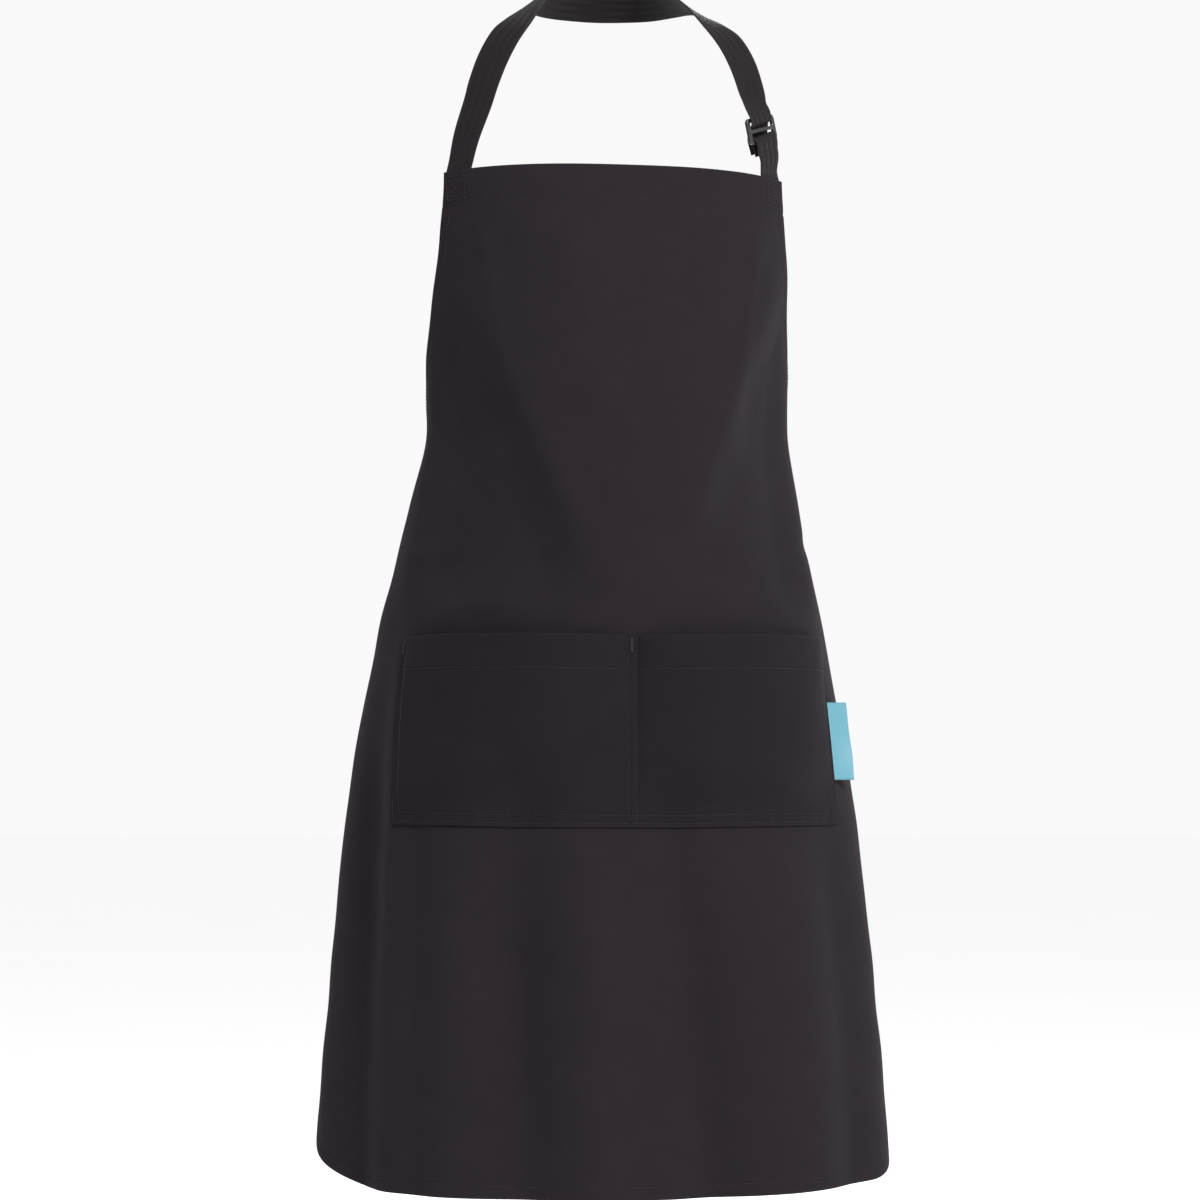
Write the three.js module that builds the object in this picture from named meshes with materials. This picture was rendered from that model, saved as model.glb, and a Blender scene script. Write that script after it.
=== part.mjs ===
// Artist smock apron, as worn: a bib apron of dark canvas curved round the wearer's front, with a two-part patch pocket,
// a neck loop with a moulded slider, waist ties tied in a bow behind, and a folded side label.
// Millimetres, +Z up, the wearer faces -Y. The origin is where the neck strap rests on the nape.
import * as THREE from 'three';

// ---- driving dimensions -------------------------------------------------------------------------------------------
const LENGTH = 790;            // cut length of the panel, bib top to bottom hem
const HALF = 345;              // half the flat width of the skirt
const BIB_HALF = 149;          // half the flat width of the bib at its top
const BIB_LOW_HALF = 181;      // the same 107 mm lower
const WAIST_T = 262;           // where the armhole curve meets the skirt's side edge
const CLOTH = 0.8;             // canvas thickness
const GAP = 0.3;               // clearance between touching layers
const TOP_HEM = 32;            // depth of the turned top hem
const BOTTOM_HEM = 14;
const CORNER = { wide: 130, high: 75, power: 1.6 };    // rounded bottom corners of the cut
const POCKET_HALF = 192;       // half the pocket patch's width
const POCKET_TOP = 370, POCKET_FOOT = 515;   // down the cloth from the bib top
const POCKET_STAND = 17;       // how far each pocket mouth stands open
const MOUTH_HEM = 30;          // depth of the pocket mouth's turned hem
const STRAP_W = 25, STRAP_T = 1.4;           // neck webbing
const TIE_W = 25, TIE_T = 1.2;               // waist tape
const SLIDER = { w: 33, h: 21, t: 3, bar: 3.5, mid: 3.2, rail: 3.2 };
const LABEL = { top: 419, foot: 480, reach: 17, t: 1.2 };
const NAPE = { y: 66.8, z: 158.1 };          // inner face of the neck strap at the nape, from the bib top's centre

// Shape of the worn cloth against t, the way down it: half the breadth, how far the middle stands forward, and how square the curve is
const KNOT_T = [0, 100, 200, 265, 370, 520, 660, 790];
const BREADTH = [152, 145.5, 144, 156, 180, 203.5, 217, 226];
const FORWARD = [85, 107, 121, 121.5, 124, 133, 142, 151];
const SQUARE_T = [0, 265, 520, 790];
const SQUARE = [1.7, 1.15, 1.32, 1.57];
const BACK_TURN = 1.25;        // how fast the cloth turns in behind the widest point
const SIDE_RISE = 11;          // how much higher the side edges ride at the bottom hem

// ---- curves -------------------------------------------------------------------------------------------------------
function pchip(xs, ys) {
  const n = xs.length, h = [], m = [], d = new Array(n).fill(0);
  for (let k = 0; k < n - 1; k++) { h.push(xs[k + 1] - xs[k]); m.push((ys[k + 1] - ys[k]) / h[k]); }
  for (let k = 1; k < n - 1; k++) {
    if (m[k - 1] * m[k] <= 0) continue;
    const w1 = 2 * h[k] + h[k - 1], w2 = h[k] + 2 * h[k - 1];
    d[k] = (w1 + w2) / (w1 / m[k - 1] + w2 / m[k]);
  }
  const end = (h0, h1, m0, m1) => {
    let e = ((2 * h0 + h1) * m0 - h0 * m1) / (h0 + h1);
    if (Math.sign(e) !== Math.sign(m0)) e = 0;
    else if (Math.sign(m0) !== Math.sign(m1) && Math.abs(e) > Math.abs(3 * m0)) e = 3 * m0;
    return e;
  };
  d[0] = end(h[0], h[1], m[0], m[1]);
  d[n - 1] = end(h[n - 2], h[n - 3], m[n - 2], m[n - 3]);
  return (x) => {
    let k = 0;
    while (k < n - 2 && x > xs[k + 1]) k++;
    const t = (x - xs[k]) / h[k], t2 = t * t, t3 = t2 * t;
    return ys[k] * (2 * t3 - 3 * t2 + 1) + h[k] * d[k] * (t3 - 2 * t2 + t) + ys[k + 1] * (-2 * t3 + 3 * t2) + h[k] * d[k + 1] * (t3 - t2);
  };
}
const breadth = pchip(KNOT_T, BREADTH), forward = pchip(KNOT_T, FORWARD), square = pchip(SQUARE_T, SQUARE);
const halfWidth = pchip([0, 55, 107, 150, 200, 240, 262, 270, 800],
  [BIB_HALF, BIB_HALF + 0.35 * (BIB_LOW_HALF - BIB_HALF), BIB_LOW_HALF, BIB_LOW_HALF + 26, BIB_LOW_HALF + 72, BIB_LOW_HALF + 128, 342, HALF, HALF]);

const zAt = [0];               // height against the way down the middle of the cloth
for (let t = 0; t < LENGTH + 4; t++) {
  const slope = forward(t + 0.5 + 0.01) - forward(t + 0.5 - 0.01);
  zAt.push(zAt[t] - Math.sqrt(Math.max(1 - (slope / 0.02) ** 2, 0)));
}
const height = (t) => { const c = Math.max(0, Math.min(LENGTH + 3, t)), k = Math.floor(c); return zAt[k] + (zAt[k + 1] - zAt[k]) * (c - k) - Math.min(0, t); };

const DS = 1.5, rows = new Map();
function row(t) {              // one level section of the cloth, x and y against arc length from the middle
  if (rows.has(t)) return rows.get(t);
  const c = Math.max(0, Math.min(LENGTH, t)), p = square(c);
  let share = 0;
  for (let i = 0; i < 400; i++) share += Math.cos(Math.PI / 2 * ((i + 0.5) / 400) ** p) / 400;
  const quarter = breadth(c) / share, x = [0], y = [-forward(c)];
  for (let s = 0; s < 366; s += DS) {
    const g = (s + DS / 2) / quarter;
    const a = g < 1 ? Math.PI / 2 * g ** p : Math.PI / 2 * (1 + BACK_TURN * p * (g - 1));
    x.push(x[x.length - 1] + DS * Math.cos(a));
    y.push(y[y.length - 1] + DS * Math.sin(a));
  }
  const r = { x, y };
  rows.set(t, r);
  return r;
}
const cornerLift = (s) => { const e = Math.min(1, Math.max(0, (Math.abs(s) - (HALF - CORNER.wide)) / CORNER.wide)); return CORNER.high * (1 - (1 - e ** CORNER.power) ** (1 / CORNER.power)); };
const lowT = (s, t) => t - cornerLift(s) * Math.min(1, Math.max(0, (t - 610) / (LENGTH - BOTTOM_HEM - 610)));
function onBody(s, t) {        // the cloth's outer face
  const r = row(t), a = Math.min(Math.abs(s), 365) / DS, k = Math.floor(a), f = a - k;
  const x = (r.x[k] + (r.x[k + 1] - r.x[k]) * f) * Math.sign(s || 1), y = r.y[k] + (r.y[k + 1] - r.y[k]) * f;
  const rise = SIDE_RISE * Math.min(1, Math.max(0, (t - 265) / 525)) * Math.min(1, Math.abs(s) / HALF) ** 2;
  const drop = Math.min(1, Math.max(0, 1 - t / 200)) * (Math.abs(s) / 150) ** 2;
  return new THREE.Vector3(x, y, height(t) - drop + rise);
}
function normalAt(s, t) {
  const ds = onBody(s + 1.5, t).sub(onBody(s - 1.5, t)), dt = onBody(s, t + 2).sub(onBody(s, t - 2));
  return dt.cross(ds).normalize();
}

// ---- the facet net that every sewn layer shares ----------------------------------------------------------------------
const half = [0, 0.14, 0.28, 0.42, POCKET_HALF / HALF, 0.66, 0.76, 0.85, 0.9, 0.93, 0.96, 0.985, 1];
const U = [...half.slice(1).reverse().map((u) => -u), ...half];
const T = [0, 16, TOP_HEM, 58, 85, 112, 140, 168, 192, 214, 234, 250, WAIST_T, 290, 320, 345, POCKET_TOP, 400, 430, 460, 488, POCKET_FOOT, 560, 610, 660, 705, 745, LENGTH - BOTTOM_HEM, LENGTH];
const net = T.map((t) => U.map((u) => {
  const s = u * halfWidth(t), q = lowT(s, t);
  return { p: onBody(s, q), n: normalAt(s, Math.max(0.01, q)) };
}));
function cell(xs, x) { let k = 0; while (k < xs.length - 2 && x > xs[k + 1]) k++; return [k, (x - xs[k]) / (xs[k + 1] - xs[k])]; }
function lay(u, t, off) {      // a point on the net, lifted off the outer face
  const [j, f] = cell(U, u), [i, g] = cell(T, t);
  const mix = (key) => new THREE.Vector3()
    .addScaledVector(net[i][j][key], (1 - f) * (1 - g)).addScaledVector(net[i][j + 1][key], f * (1 - g))
    .addScaledVector(net[i + 1][j][key], (1 - f) * g).addScaledVector(net[i + 1][j + 1][key], f * g);
  return mix('p').addScaledVector(mix('n').normalize(), off);
}

// ---- solids ---------------------------------------------------------------------------------------------------------
function solid(points, faces) {
  const pos = new Float32Array(points.length * 3);
  points.forEach((p, i) => pos.set([p.x, p.y, p.z], 3 * i));
  let volume = 0;
  for (const [a, b, c] of faces) volume += points[a].dot(new THREE.Vector3().crossVectors(points[b], points[c])) / 6;
  const out = volume < 0 ? faces.map(([a, b, c]) => [a, c, b]) : faces;
  const g = new THREE.BufferGeometry();
  g.setAttribute('position', new THREE.BufferAttribute(pos, 3));
  g.setIndex(out.flat());
  g.computeVertexNormals();
  return g;
}
function sheet(us, ts, outer, inner) {      // a closed layer of cloth over a piece of the net
  const n = us.length, m = ts.length, points = [], faces = [];
  for (const off of [outer, inner]) for (const t of ts) for (const u of us) points.push(lay(u, t, typeof off === 'function' ? off(u, t) : off));
  const at = (side, i, j) => side * n * m + i * n + j;
  for (let i = 0; i < m - 1; i++) for (let j = 0; j < n - 1; j++) {
    faces.push([at(0, i, j), at(0, i + 1, j), at(0, i, j + 1)], [at(0, i + 1, j), at(0, i + 1, j + 1), at(0, i, j + 1)]);
    faces.push([at(1, i, j), at(1, i, j + 1), at(1, i + 1, j)], [at(1, i + 1, j), at(1, i, j + 1), at(1, i + 1, j + 1)]);
  }
  const rim = [];
  for (let j = 0; j < n; j++) rim.push([0, j]);
  for (let i = 1; i < m; i++) rim.push([i, n - 1]);
  for (let j = n - 2; j >= 0; j--) rim.push([m - 1, j]);
  for (let i = m - 2; i > 0; i--) rim.push([i, 0]);
  rim.forEach(([i, j], k) => {
    const [i2, j2] = rim[(k + 1) % rim.length];
    faces.push([at(0, i, j), at(0, i2, j2), at(1, i, j)], [at(0, i2, j2), at(1, i2, j2), at(1, i, j)]);
  });
  return solid(points, faces);
}
function ringSheet(u0, u1, t0, t1, w, off0, off1, uw) {    // a sewn box of thread
  const points = [], faces = [], steps = 4, loop = (a, b, c, d) => {
    const out = [];
    for (let k = 0; k < steps; k++) out.push([a + (b - a) * k / steps, c]);
    for (let k = 0; k < steps; k++) out.push([b, c + (d - c) * k / steps]);
    for (let k = 0; k < steps; k++) out.push([b + (a - b) * k / steps, d]);
    for (let k = 0; k < steps; k++) out.push([a, d + (c - d) * k / steps]);
    return out;
  };
  const outer = loop(u0, u1, t0, t1), inner = loop(u0 + uw, u1 - uw, t0 + w, t1 - w), n = outer.length;
  for (const off of [off1, off0]) for (const l of [outer, inner]) for (const [u, t] of l) points.push(lay(u, t, off));
  for (let k = 0; k < n; k++) {
    const q = (k + 1) % n;
    const quad = (a, b, c, d) => faces.push([a, b, c], [a, c, d]);
    quad(k, n + k, n + q, q);                       // outward face
    quad(2 * n + k, 2 * n + q, 3 * n + q, 3 * n + k);
    quad(k, q, 2 * n + q, 2 * n + k);
    quad(n + k, 3 * n + k, 3 * n + q, n + q);
  }
  return solid(points, faces);
}
const V = (x, y, z) => new THREE.Vector3(x, y, z);
function along(points, steps) {             // samples of a smooth line through points, and the share of each
  const curve = new THREE.CatmullRomCurve3(points, false, 'catmullrom', 0.5);
  return Array.from({ length: steps + 1 }, (_, k) => curve.getPoint(k / steps));
}
function ribbon(points, sides, widths, thick, steps, first = 0, last = steps, trim = 0) {     // flat tape, or a stretch of it: sides are the directions across it
  const mid = along(points, steps), across = along(sides, steps), wide = along(widths.map((w) => V(w, 0, 0)), steps);
  const out = [], faces = [], count = last - first;
  for (let k = first; k <= last; k++) {
    const t = mid[Math.min(k + 1, steps)].clone().sub(mid[Math.max(k - 1, 0)]).normalize();
    if (k === last) mid[k].addScaledVector(t, -trim);
    const w = across[k].clone().addScaledVector(t, -across[k].dot(t)).normalize(), n = new THREE.Vector3().crossVectors(t, w);
    for (const [a, b] of [[-1, -1], [1, -1], [1, 1], [-1, 1]]) out.push(mid[k].clone().addScaledVector(w, a * wide[k].x / 2).addScaledVector(n, b * thick / 2));
  }
  for (let k = 0; k < count; k++) for (let c = 0; c < 4; c++) {
    const a = 4 * k + c, b = 4 * k + (c + 1) % 4;
    faces.push([a, b, b + 4], [a, b + 4, a + 4]);
  }
  const e = 4 * count;
  faces.push([0, 2, 1], [0, 3, 2], [e, e + 1, e + 2], [e, e + 2, e + 3]);
  return solid(out, faces);
}
function lump(c, rx, ry, rz, around, down, power) {        // a rounded knot
  const points = [V(c.x, c.y, c.z + rz)], faces = [], sp = (v) => Math.sign(v) * Math.abs(v) ** power;
  for (let i = 1; i < down; i++) for (let j = 0; j < around; j++) {
    const a = Math.PI * i / down, b = 2 * Math.PI * j / around;
    points.push(V(c.x + rx * sp(Math.sin(a)) * sp(Math.cos(b)), c.y + ry * sp(Math.sin(a)) * sp(Math.sin(b)), c.z + rz * sp(Math.cos(a))));
  }
  points.push(V(c.x, c.y, c.z - rz));
  const last = points.length - 1, at = (i, j) => 1 + (i - 1) * around + j % around;
  for (let j = 0; j < around; j++) { faces.push([0, at(1, j), at(1, j + 1)]); faces.push([last, at(down - 1, j + 1), at(down - 1, j)]); }
  for (let i = 1; i < down - 1; i++) for (let j = 0; j < around; j++) faces.push([at(i, j), at(i + 1, j), at(i + 1, j + 1)], [at(i, j), at(i + 1, j + 1), at(i, j + 1)]);
  return solid(points, faces);
}

// ---- materials --------------------------------------------------------------------------------------------------------
const paint = (color, roughness) => new THREE.MeshStandardMaterial({ color, roughness, metalness: 0 });
const CANVAS = paint(0x2b282a, 0.9), WEB = paint(0x1f1e20, 0.75), TAPE = paint(0x262426, 0.85), MOULD = paint(0x0c0c0d, 0.35), THREAD = paint(0x1a191b, 0.7), SATIN = paint(0x73bed7, 0.5);

const apron = new THREE.Group();
const body = new THREE.Group();
body.position.set(0, -NAPE.y, -NAPE.z);
apron.add(body);
function piece(name, geometry, material) {
  const mesh = new THREE.Mesh(geometry, material);
  mesh.name = name;
  body.add(mesh);
  return mesh;
}
const pick = (xs, lo, hi) => xs.filter((x) => x >= lo - 1e-9 && x <= hi + 1e-9);

// ---- the cloth --------------------------------------------------------------------------------------------------------
piece('main_panel', sheet(U, T, 0, -CLOTH), CANVAS);
const IN1 = -(CLOTH + GAP), IN2 = IN1 - CLOTH;             // the turned layer behind the panel
piece('top_hem', sheet(U, pick(T, 0, TOP_HEM), IN1, IN2), CANVAS);
piece('armhole_hem_left', sheet(pick(U, -1, -0.93), [TOP_HEM + 0.6, ...pick(T, TOP_HEM + 1, 250), WAIST_T - 1], IN1, IN2), CANVAS);
piece('armhole_hem_right', sheet(pick(U, 0.93, 1), [TOP_HEM + 0.6, ...pick(T, TOP_HEM + 1, 250), WAIST_T - 1], IN1, IN2), CANVAS);
piece('side_hem_left', sheet(pick(U, -1, -0.96), [...pick(T, WAIST_T, 750), LENGTH - BOTTOM_HEM - 0.6], IN1, IN2), CANVAS);
piece('side_hem_right', sheet(pick(U, 0.96, 1), [...pick(T, WAIST_T, 750), LENGTH - BOTTOM_HEM - 0.6], IN1, IN2), CANVAS);
piece('bottom_hem', sheet(U, pick(T, LENGTH - BOTTOM_HEM, LENGTH), IN1, IN2), CANVAS);

// The pocket patch is sewn down at its sides, foot and middle, and its two mouths stand open.
const PU = POCKET_HALF / HALF;
const mouthStand = (u) => { const e = Math.abs(u) / PU; return Math.max(0, 1 - (2 * e - 1) ** 2) ** 0.75; };
const pocketOff = (u, t) => {
  const v = Math.min(1, Math.max(0, (t - POCKET_TOP) / (POCKET_FOOT - POCKET_TOP)));
  const seat = 1.2 + 1.3 * Math.min(1, Math.max(0, 1 - (t - POCKET_TOP - MOUTH_HEM) / 25));
  return seat + POCKET_STAND * mouthStand(u) * (1 - v) ** 0.85;
};
const pocketU = pick(U, -PU, PU), pocketT = pick(T, POCKET_TOP, POCKET_FOOT);
const fineU = pocketU.flatMap((u, k) => k < pocketU.length - 1 ? [u, (u + pocketU[k + 1]) / 2] : [u]);
piece('pocket_panel', sheet(fineU, pocketT, pocketOff, (u, t) => pocketOff(u, t) - CLOTH), CANVAS);
piece('pocket_mouth_hem', sheet(fineU, pick(T, POCKET_TOP, POCKET_TOP + MOUTH_HEM), (u, t) => pocketOff(u, t) - CLOTH - GAP, (u, t) => pocketOff(u, t) - 2 * CLOTH - GAP), CANVAS);

// ---- neck loop --------------------------------------------------------------------------------------------------------
// One line per point on the wearer's left: x, y, z, then the way the webbing faces.
const NECK = [
  [122.3, -46, 4, 0.73, -0.68, 0.05], [118, -51.5, 25, 0.62, -0.77, 0.1], [110, -57.5, 50, 0.48, -0.86, 0.15], [105.5, -60, 66, 0.38, -0.9, 0.2],
  [98.5, -61.5, 85, 0.3, -0.92, 0.28], [89, -59.5, 103, 0.28, -0.85, 0.45], [78, -52.5, 117, 0.36, -0.66, 0.66], [68, -39.5, 130, 0.48, -0.4, 0.8],
  [61, -21, 140.5, 0.56, -0.15, 0.82], [58, 2, 147.5, 0.6, 0.05, 0.8], [52, 27, 152.5, 0.6, 0.3, 0.74], [38, 50, 156, 0.46, 0.65, 0.6], [20, 63, 158, 0.24, 0.8, 0.55], [0, 67.5, 158.6, 0, 0.85, 0.5]];
const neckLine = (flip, from) => NECK.slice(from).map(([x, y, z]) => V(flip * x, y, z));
const neckFace = (flip, from) => NECK.slice(from).map(([, , , x, y, z]) => V(flip * x, y, z));
// The slider sits on the wearer's left strap, square to the webbing there.
const SL = { c: V(114.4, -54.4, 36.5), t: V(-0.31, -0.24, 0.92).normalize(), n: V(0.56, -0.82, 0.12) };
SL.n.addScaledVector(SL.t, -SL.n.dot(SL.t)).normalize();
SL.w = new THREE.Vector3().crossVectors(SL.n, SL.t).multiplyScalar(-1);       // across, outward
const at = (h, n, w = 0) => SL.c.clone().addScaledVector(SL.t, h).addScaledVector(SL.n, n).addScaledVector(SL.w, w);

{
  const line = [...neckLine(-1, 0), ...neckLine(1, 3).reverse().slice(1)], face = [...neckFace(-1, 0), ...neckFace(1, 3).reverse().slice(1)];
  // last stretch: over the slider's top bar, in through its upper slot and behind the middle bar
  const tail = [at(20, 1.0), at(13, 2.7), at(9.3, 3.0), at(6.6, 2.75), at(4.5, 0.6), at(2.9, -2.2), at(-0.6, -3.4)];
  const turned = tail.map(() => SL.n);
  const pts = [...line, ...tail], faces = [...face, ...turned];
  const ways = pts.map((p, k) => pts[Math.min(k + 1, pts.length - 1)].clone().sub(pts[Math.max(k - 1, 0)]).normalize());
  let sides = pts.map((p, k) => new THREE.Vector3().crossVectors(faces[k], ways[k]).normalize());
  sides = sides.map((s, k) => (k >= line.length ? SL.w.clone().multiplyScalar(-1) : s));
  for (let k = 1; k < sides.length; k++) if (sides[k].dot(sides[k - 1]) < 0) sides[k].negate();
  // its first stretch, above the bib's edge, is where the webbing bends
  const steps = 3 * (pts.length - 1), wide = pts.map(() => STRAP_W);
  piece('neck_strap_bend', ribbon(pts, sides, wide, STRAP_T, steps, 0, 3, GAP), WEB);
  piece('neck_strap', ribbon(pts, sides, wide, STRAP_T, steps, 3), WEB);
}
piece('strap_tail', ribbon([at(-3.4, -5.8), at(-10, -5.8), at(-17, -5.8)], [SL.w, SL.w, SL.w], [STRAP_W, STRAP_W, STRAP_W], STRAP_T, 3), WEB);
{
  // Short strap: up in front, round the slider's bottom bar and back down behind itself
  const foot = V(122.3, -46, 4), face = V(0.73, -0.68, 0.05), low = new THREE.Vector3().crossVectors(V(-0.2, -0.25, 0.95), face).normalize();
  if (low.dot(SL.w) < 0) low.negate();
  const pts = [foot, at(-24, 0.6), at(-16, 1.6), at(-11.5, 2.7), at(-8, 2.75), at(-5.2, 1.2), at(-5.2, -1.2), at(-8, -2.75), at(-12, -2.7), at(-19, -2.0)];
  const sides = pts.map((p, k) => (k === 0 ? low : k === 1 ? low.clone().add(SL.w) : SL.w)), wide = pts.map(() => STRAP_W);
  piece('short_strap_bend', ribbon(pts, sides, wide, STRAP_T, 36, 0, 6, GAP), WEB);
  piece('short_strap', ribbon(pts, sides, wide, STRAP_T, 36, 6), WEB);
}
{
  const { w, h, t, bar, mid, rail } = SLIDER, shape = new THREE.Shape(), r = 3.2;
  shape.moveTo(-w / 2 + r, -h / 2); shape.lineTo(w / 2 - r, -h / 2); shape.quadraticCurveTo(w / 2, -h / 2, w / 2, -h / 2 + r);
  shape.lineTo(w / 2, h / 2 - r); shape.quadraticCurveTo(w / 2, h / 2, w / 2 - r, h / 2); shape.lineTo(-w / 2 + r, h / 2);
  shape.quadraticCurveTo(-w / 2, h / 2, -w / 2, h / 2 - r); shape.lineTo(-w / 2, -h / 2 + r); shape.quadraticCurveTo(-w / 2, -h / 2, -w / 2 + r, -h / 2);
  for (const [lo, hi] of [[mid / 2, h / 2 - bar], [-h / 2 + bar, -mid / 2]]) {
    const hole = new THREE.Path();
    hole.moveTo(-w / 2 + rail, lo); hole.lineTo(-w / 2 + rail, hi); hole.lineTo(w / 2 - rail, hi); hole.lineTo(w / 2 - rail, lo); hole.closePath();
    shape.holes.push(hole);
  }
  const g = new THREE.ExtrudeGeometry(shape, { depth: t - 1, bevelEnabled: true, bevelThickness: 0.5, bevelSize: 0.4, bevelOffset: -0.4, bevelSegments: 2, curveSegments: 4 });
  g.translate(0, 0, -(t - 1) / 2);
  const across = new THREE.Vector3().crossVectors(SL.t, SL.n);
  g.applyMatrix4(new THREE.Matrix4().makeBasis(across, SL.t, SL.n).setPosition(SL.c));
  piece('strap_slider', g, MOULD);
}
// The webbing's sewn ends, behind the turned top hem
const strapU = 135 / BIB_HALF, IN3 = IN2 - GAP, uOf = (mm, t) => mm / halfWidth(t);
for (const [name, side] of [['neck_strap_end', -1], ['short_strap_end', 1]]) {
  const us = [-12.5, -4, 4, 12.5].map((d) => side * strapU + d / BIB_HALF), ts = [0.5, 16, 29];
  piece(name, sheet(us, ts, IN3, IN3 - STRAP_T), WEB);
}

// ---- waist ties, knot and bow -----------------------------------------------------------------------------------------
const waistZ = lay(1, 277, 0).z, edge = lay(1, 277, IN3 - TIE_T / 2), KNOT = V(0, edge.y + 21, waistZ - 8);
for (const [name, side] of [['left', -1], ['right', 1]]) {
  const inside = [0.915, 0.95, 0.985].map((u) => lay(side * u, 277, IN3 - TIE_T / 2 - 1.1));
  const e = V(side * edge.x, edge.y, edge.z);
  const pts = [...inside, V(side * (edge.x - 18), edge.y + 7.5, edge.z - 1), V(side * 52, KNOT.y - 6.5, KNOT.z + 2), V(side * 30, KNOT.y - 4, KNOT.z), V(side * 13.5, KNOT.y - 3, KNOT.z)];
  const lean = [0.915, 0.95, 0.985].map((u) => lay(side * u, 265.5, 0).sub(lay(side * u, 288.5, 0)).normalize());
  const sides = [...lean, lean[2].clone().add(V(0, 0.1, 1)), V(0, 0.1, 1), V(0, 0.1, 1), V(0, 0.1, 1)];
  piece('waist_tie_' + name, ribbon(pts, sides, [23, 23, 23, TIE_W, TIE_W, 21, 13], TIE_T, 26), TAPE);
  const K = KNOT, loop = [[13.5, 4, 0, 12], [28, 2.6, -2, 22], [52, 2.6, -7, 25], [74, 6, -13, 25], [85, 14, -17, 25], [79, 22, -17, 25], [55, 22.5, -12, 25], [30, 16.5, -6, 22], [13.5, 11, -1, 12]];
  const lp = loop.map(([x, y, z]) => V(side * x, K.y + y, K.z + z));
  piece('bow_loop_' + name, ribbon(lp, lp.map(() => V(side * 0.2, 0, 1)), loop.map((l) => l[3]), TIE_T, 30), TAPE);
  const end = [[6, -3, -14, 9], [8.5, -3, -24, 15], [14, -3, -42, 25], [18, -3, -90, 25], [22, -3, -150, 25], [24, -3, -212, 25]];
  const ep = end.map(([x, y, z]) => V(side * x, K.y + y, K.z + z));
  piece('tie_end_' + name, ribbon(ep, ep.map(() => V(1, 0.12 * side, 0)), end.map((l) => l[3]), TIE_T, 14), TAPE);
}
piece('tie_knot', lump(V(KNOT.x, KNOT.y + 3.5, KNOT.z), 12.5, 10, 13, 14, 8, 0.85), TAPE);

// ---- side label: folded tape caught in the pocket's side seam ----------------------------------------------------------
{
  const hinge = (t) => lay((POCKET_HALF + 1.8) / HALF, t, 1.6), a = hinge(LABEL.top), b = hinge(LABEL.foot), up = a.clone().sub(b).normalize();
  const turn = 20 * Math.PI / 180, out = V(Math.cos(turn), Math.sin(turn), 0);
  out.addScaledVector(up, -out.dot(up)).normalize();
  const mid = a.clone().add(b).multiplyScalar(0.5).addScaledVector(out, LABEL.reach / 2);
  const len = a.distanceTo(b);
  const ends = [mid.clone().addScaledVector(up, len / 2), mid.clone(), mid.clone().addScaledVector(up, -len / 2)];
  piece('side_label', ribbon(ends, [out, out, out], [LABEL.reach, LABEL.reach, LABEL.reach], LABEL.t, 2), SATIN);
}

// ---- thread -----------------------------------------------------------------------------------------------------------
for (const [name, side] of [['neck', -1], ['short', 1]])
  piece('box_stitch_' + name, ringSheet(side * strapU - 9 / BIB_HALF, side * strapU + 9 / BIB_HALF, 6, 26, 1.2, 0.5, 1.0, 1.2 / BIB_HALF), THREAD);
for (const [name, side] of [['left', -1], ['right', 1]])
  piece('box_stitch_tie_' + name, ringSheet(side * 0.953 - 10.5 / HALF, side * 0.953 + 10.5 / HALF, 267, 287, 1.2, 0.5, 1.0, 1.2 / HALF), THREAD);
for (const [name, u] of [['left', -PU + 3 / HALF], ['middle', 0], ['right', PU - 3 / HALF]]) {
  const o = pocketOff(u, POCKET_TOP + 4) + 1.2;
  piece('bartack_pocket_' + name, sheet([u - 1.6 / HALF, u, u + 1.6 / HALF], [POCKET_TOP + 2, POCKET_TOP + 12], o + 0.6, o), THREAD);
}

export default apron;
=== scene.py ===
# Artist smock apron, as worn: fine cloth, webbing, tape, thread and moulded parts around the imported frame.
# Lengths in the tables are millimetres from the middle of the bib's top edge; put() turns them into the frame's metres.
import math

import bpy
import numpy as np
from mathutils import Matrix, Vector


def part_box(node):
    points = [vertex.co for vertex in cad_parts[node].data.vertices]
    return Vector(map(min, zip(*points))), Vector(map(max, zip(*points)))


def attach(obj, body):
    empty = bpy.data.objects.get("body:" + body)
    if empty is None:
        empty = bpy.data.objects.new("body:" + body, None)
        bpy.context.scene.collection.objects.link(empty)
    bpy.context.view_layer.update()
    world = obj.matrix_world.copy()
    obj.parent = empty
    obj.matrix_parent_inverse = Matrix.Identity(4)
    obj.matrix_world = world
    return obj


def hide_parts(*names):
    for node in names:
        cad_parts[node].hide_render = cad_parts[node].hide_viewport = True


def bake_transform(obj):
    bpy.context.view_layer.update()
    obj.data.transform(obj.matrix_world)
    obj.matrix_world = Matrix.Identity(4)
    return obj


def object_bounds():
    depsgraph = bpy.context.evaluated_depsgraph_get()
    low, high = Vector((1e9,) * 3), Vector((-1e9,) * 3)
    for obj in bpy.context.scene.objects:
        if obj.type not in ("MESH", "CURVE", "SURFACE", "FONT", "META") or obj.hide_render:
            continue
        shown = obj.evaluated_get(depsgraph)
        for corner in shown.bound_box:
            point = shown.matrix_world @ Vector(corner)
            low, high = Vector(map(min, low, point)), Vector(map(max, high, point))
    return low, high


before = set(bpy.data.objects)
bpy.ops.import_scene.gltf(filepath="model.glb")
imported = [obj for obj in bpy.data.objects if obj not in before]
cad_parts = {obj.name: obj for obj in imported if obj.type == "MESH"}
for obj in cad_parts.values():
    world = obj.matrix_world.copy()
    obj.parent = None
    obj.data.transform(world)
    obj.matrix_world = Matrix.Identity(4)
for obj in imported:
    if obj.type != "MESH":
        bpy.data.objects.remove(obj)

box_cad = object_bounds()


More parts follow.
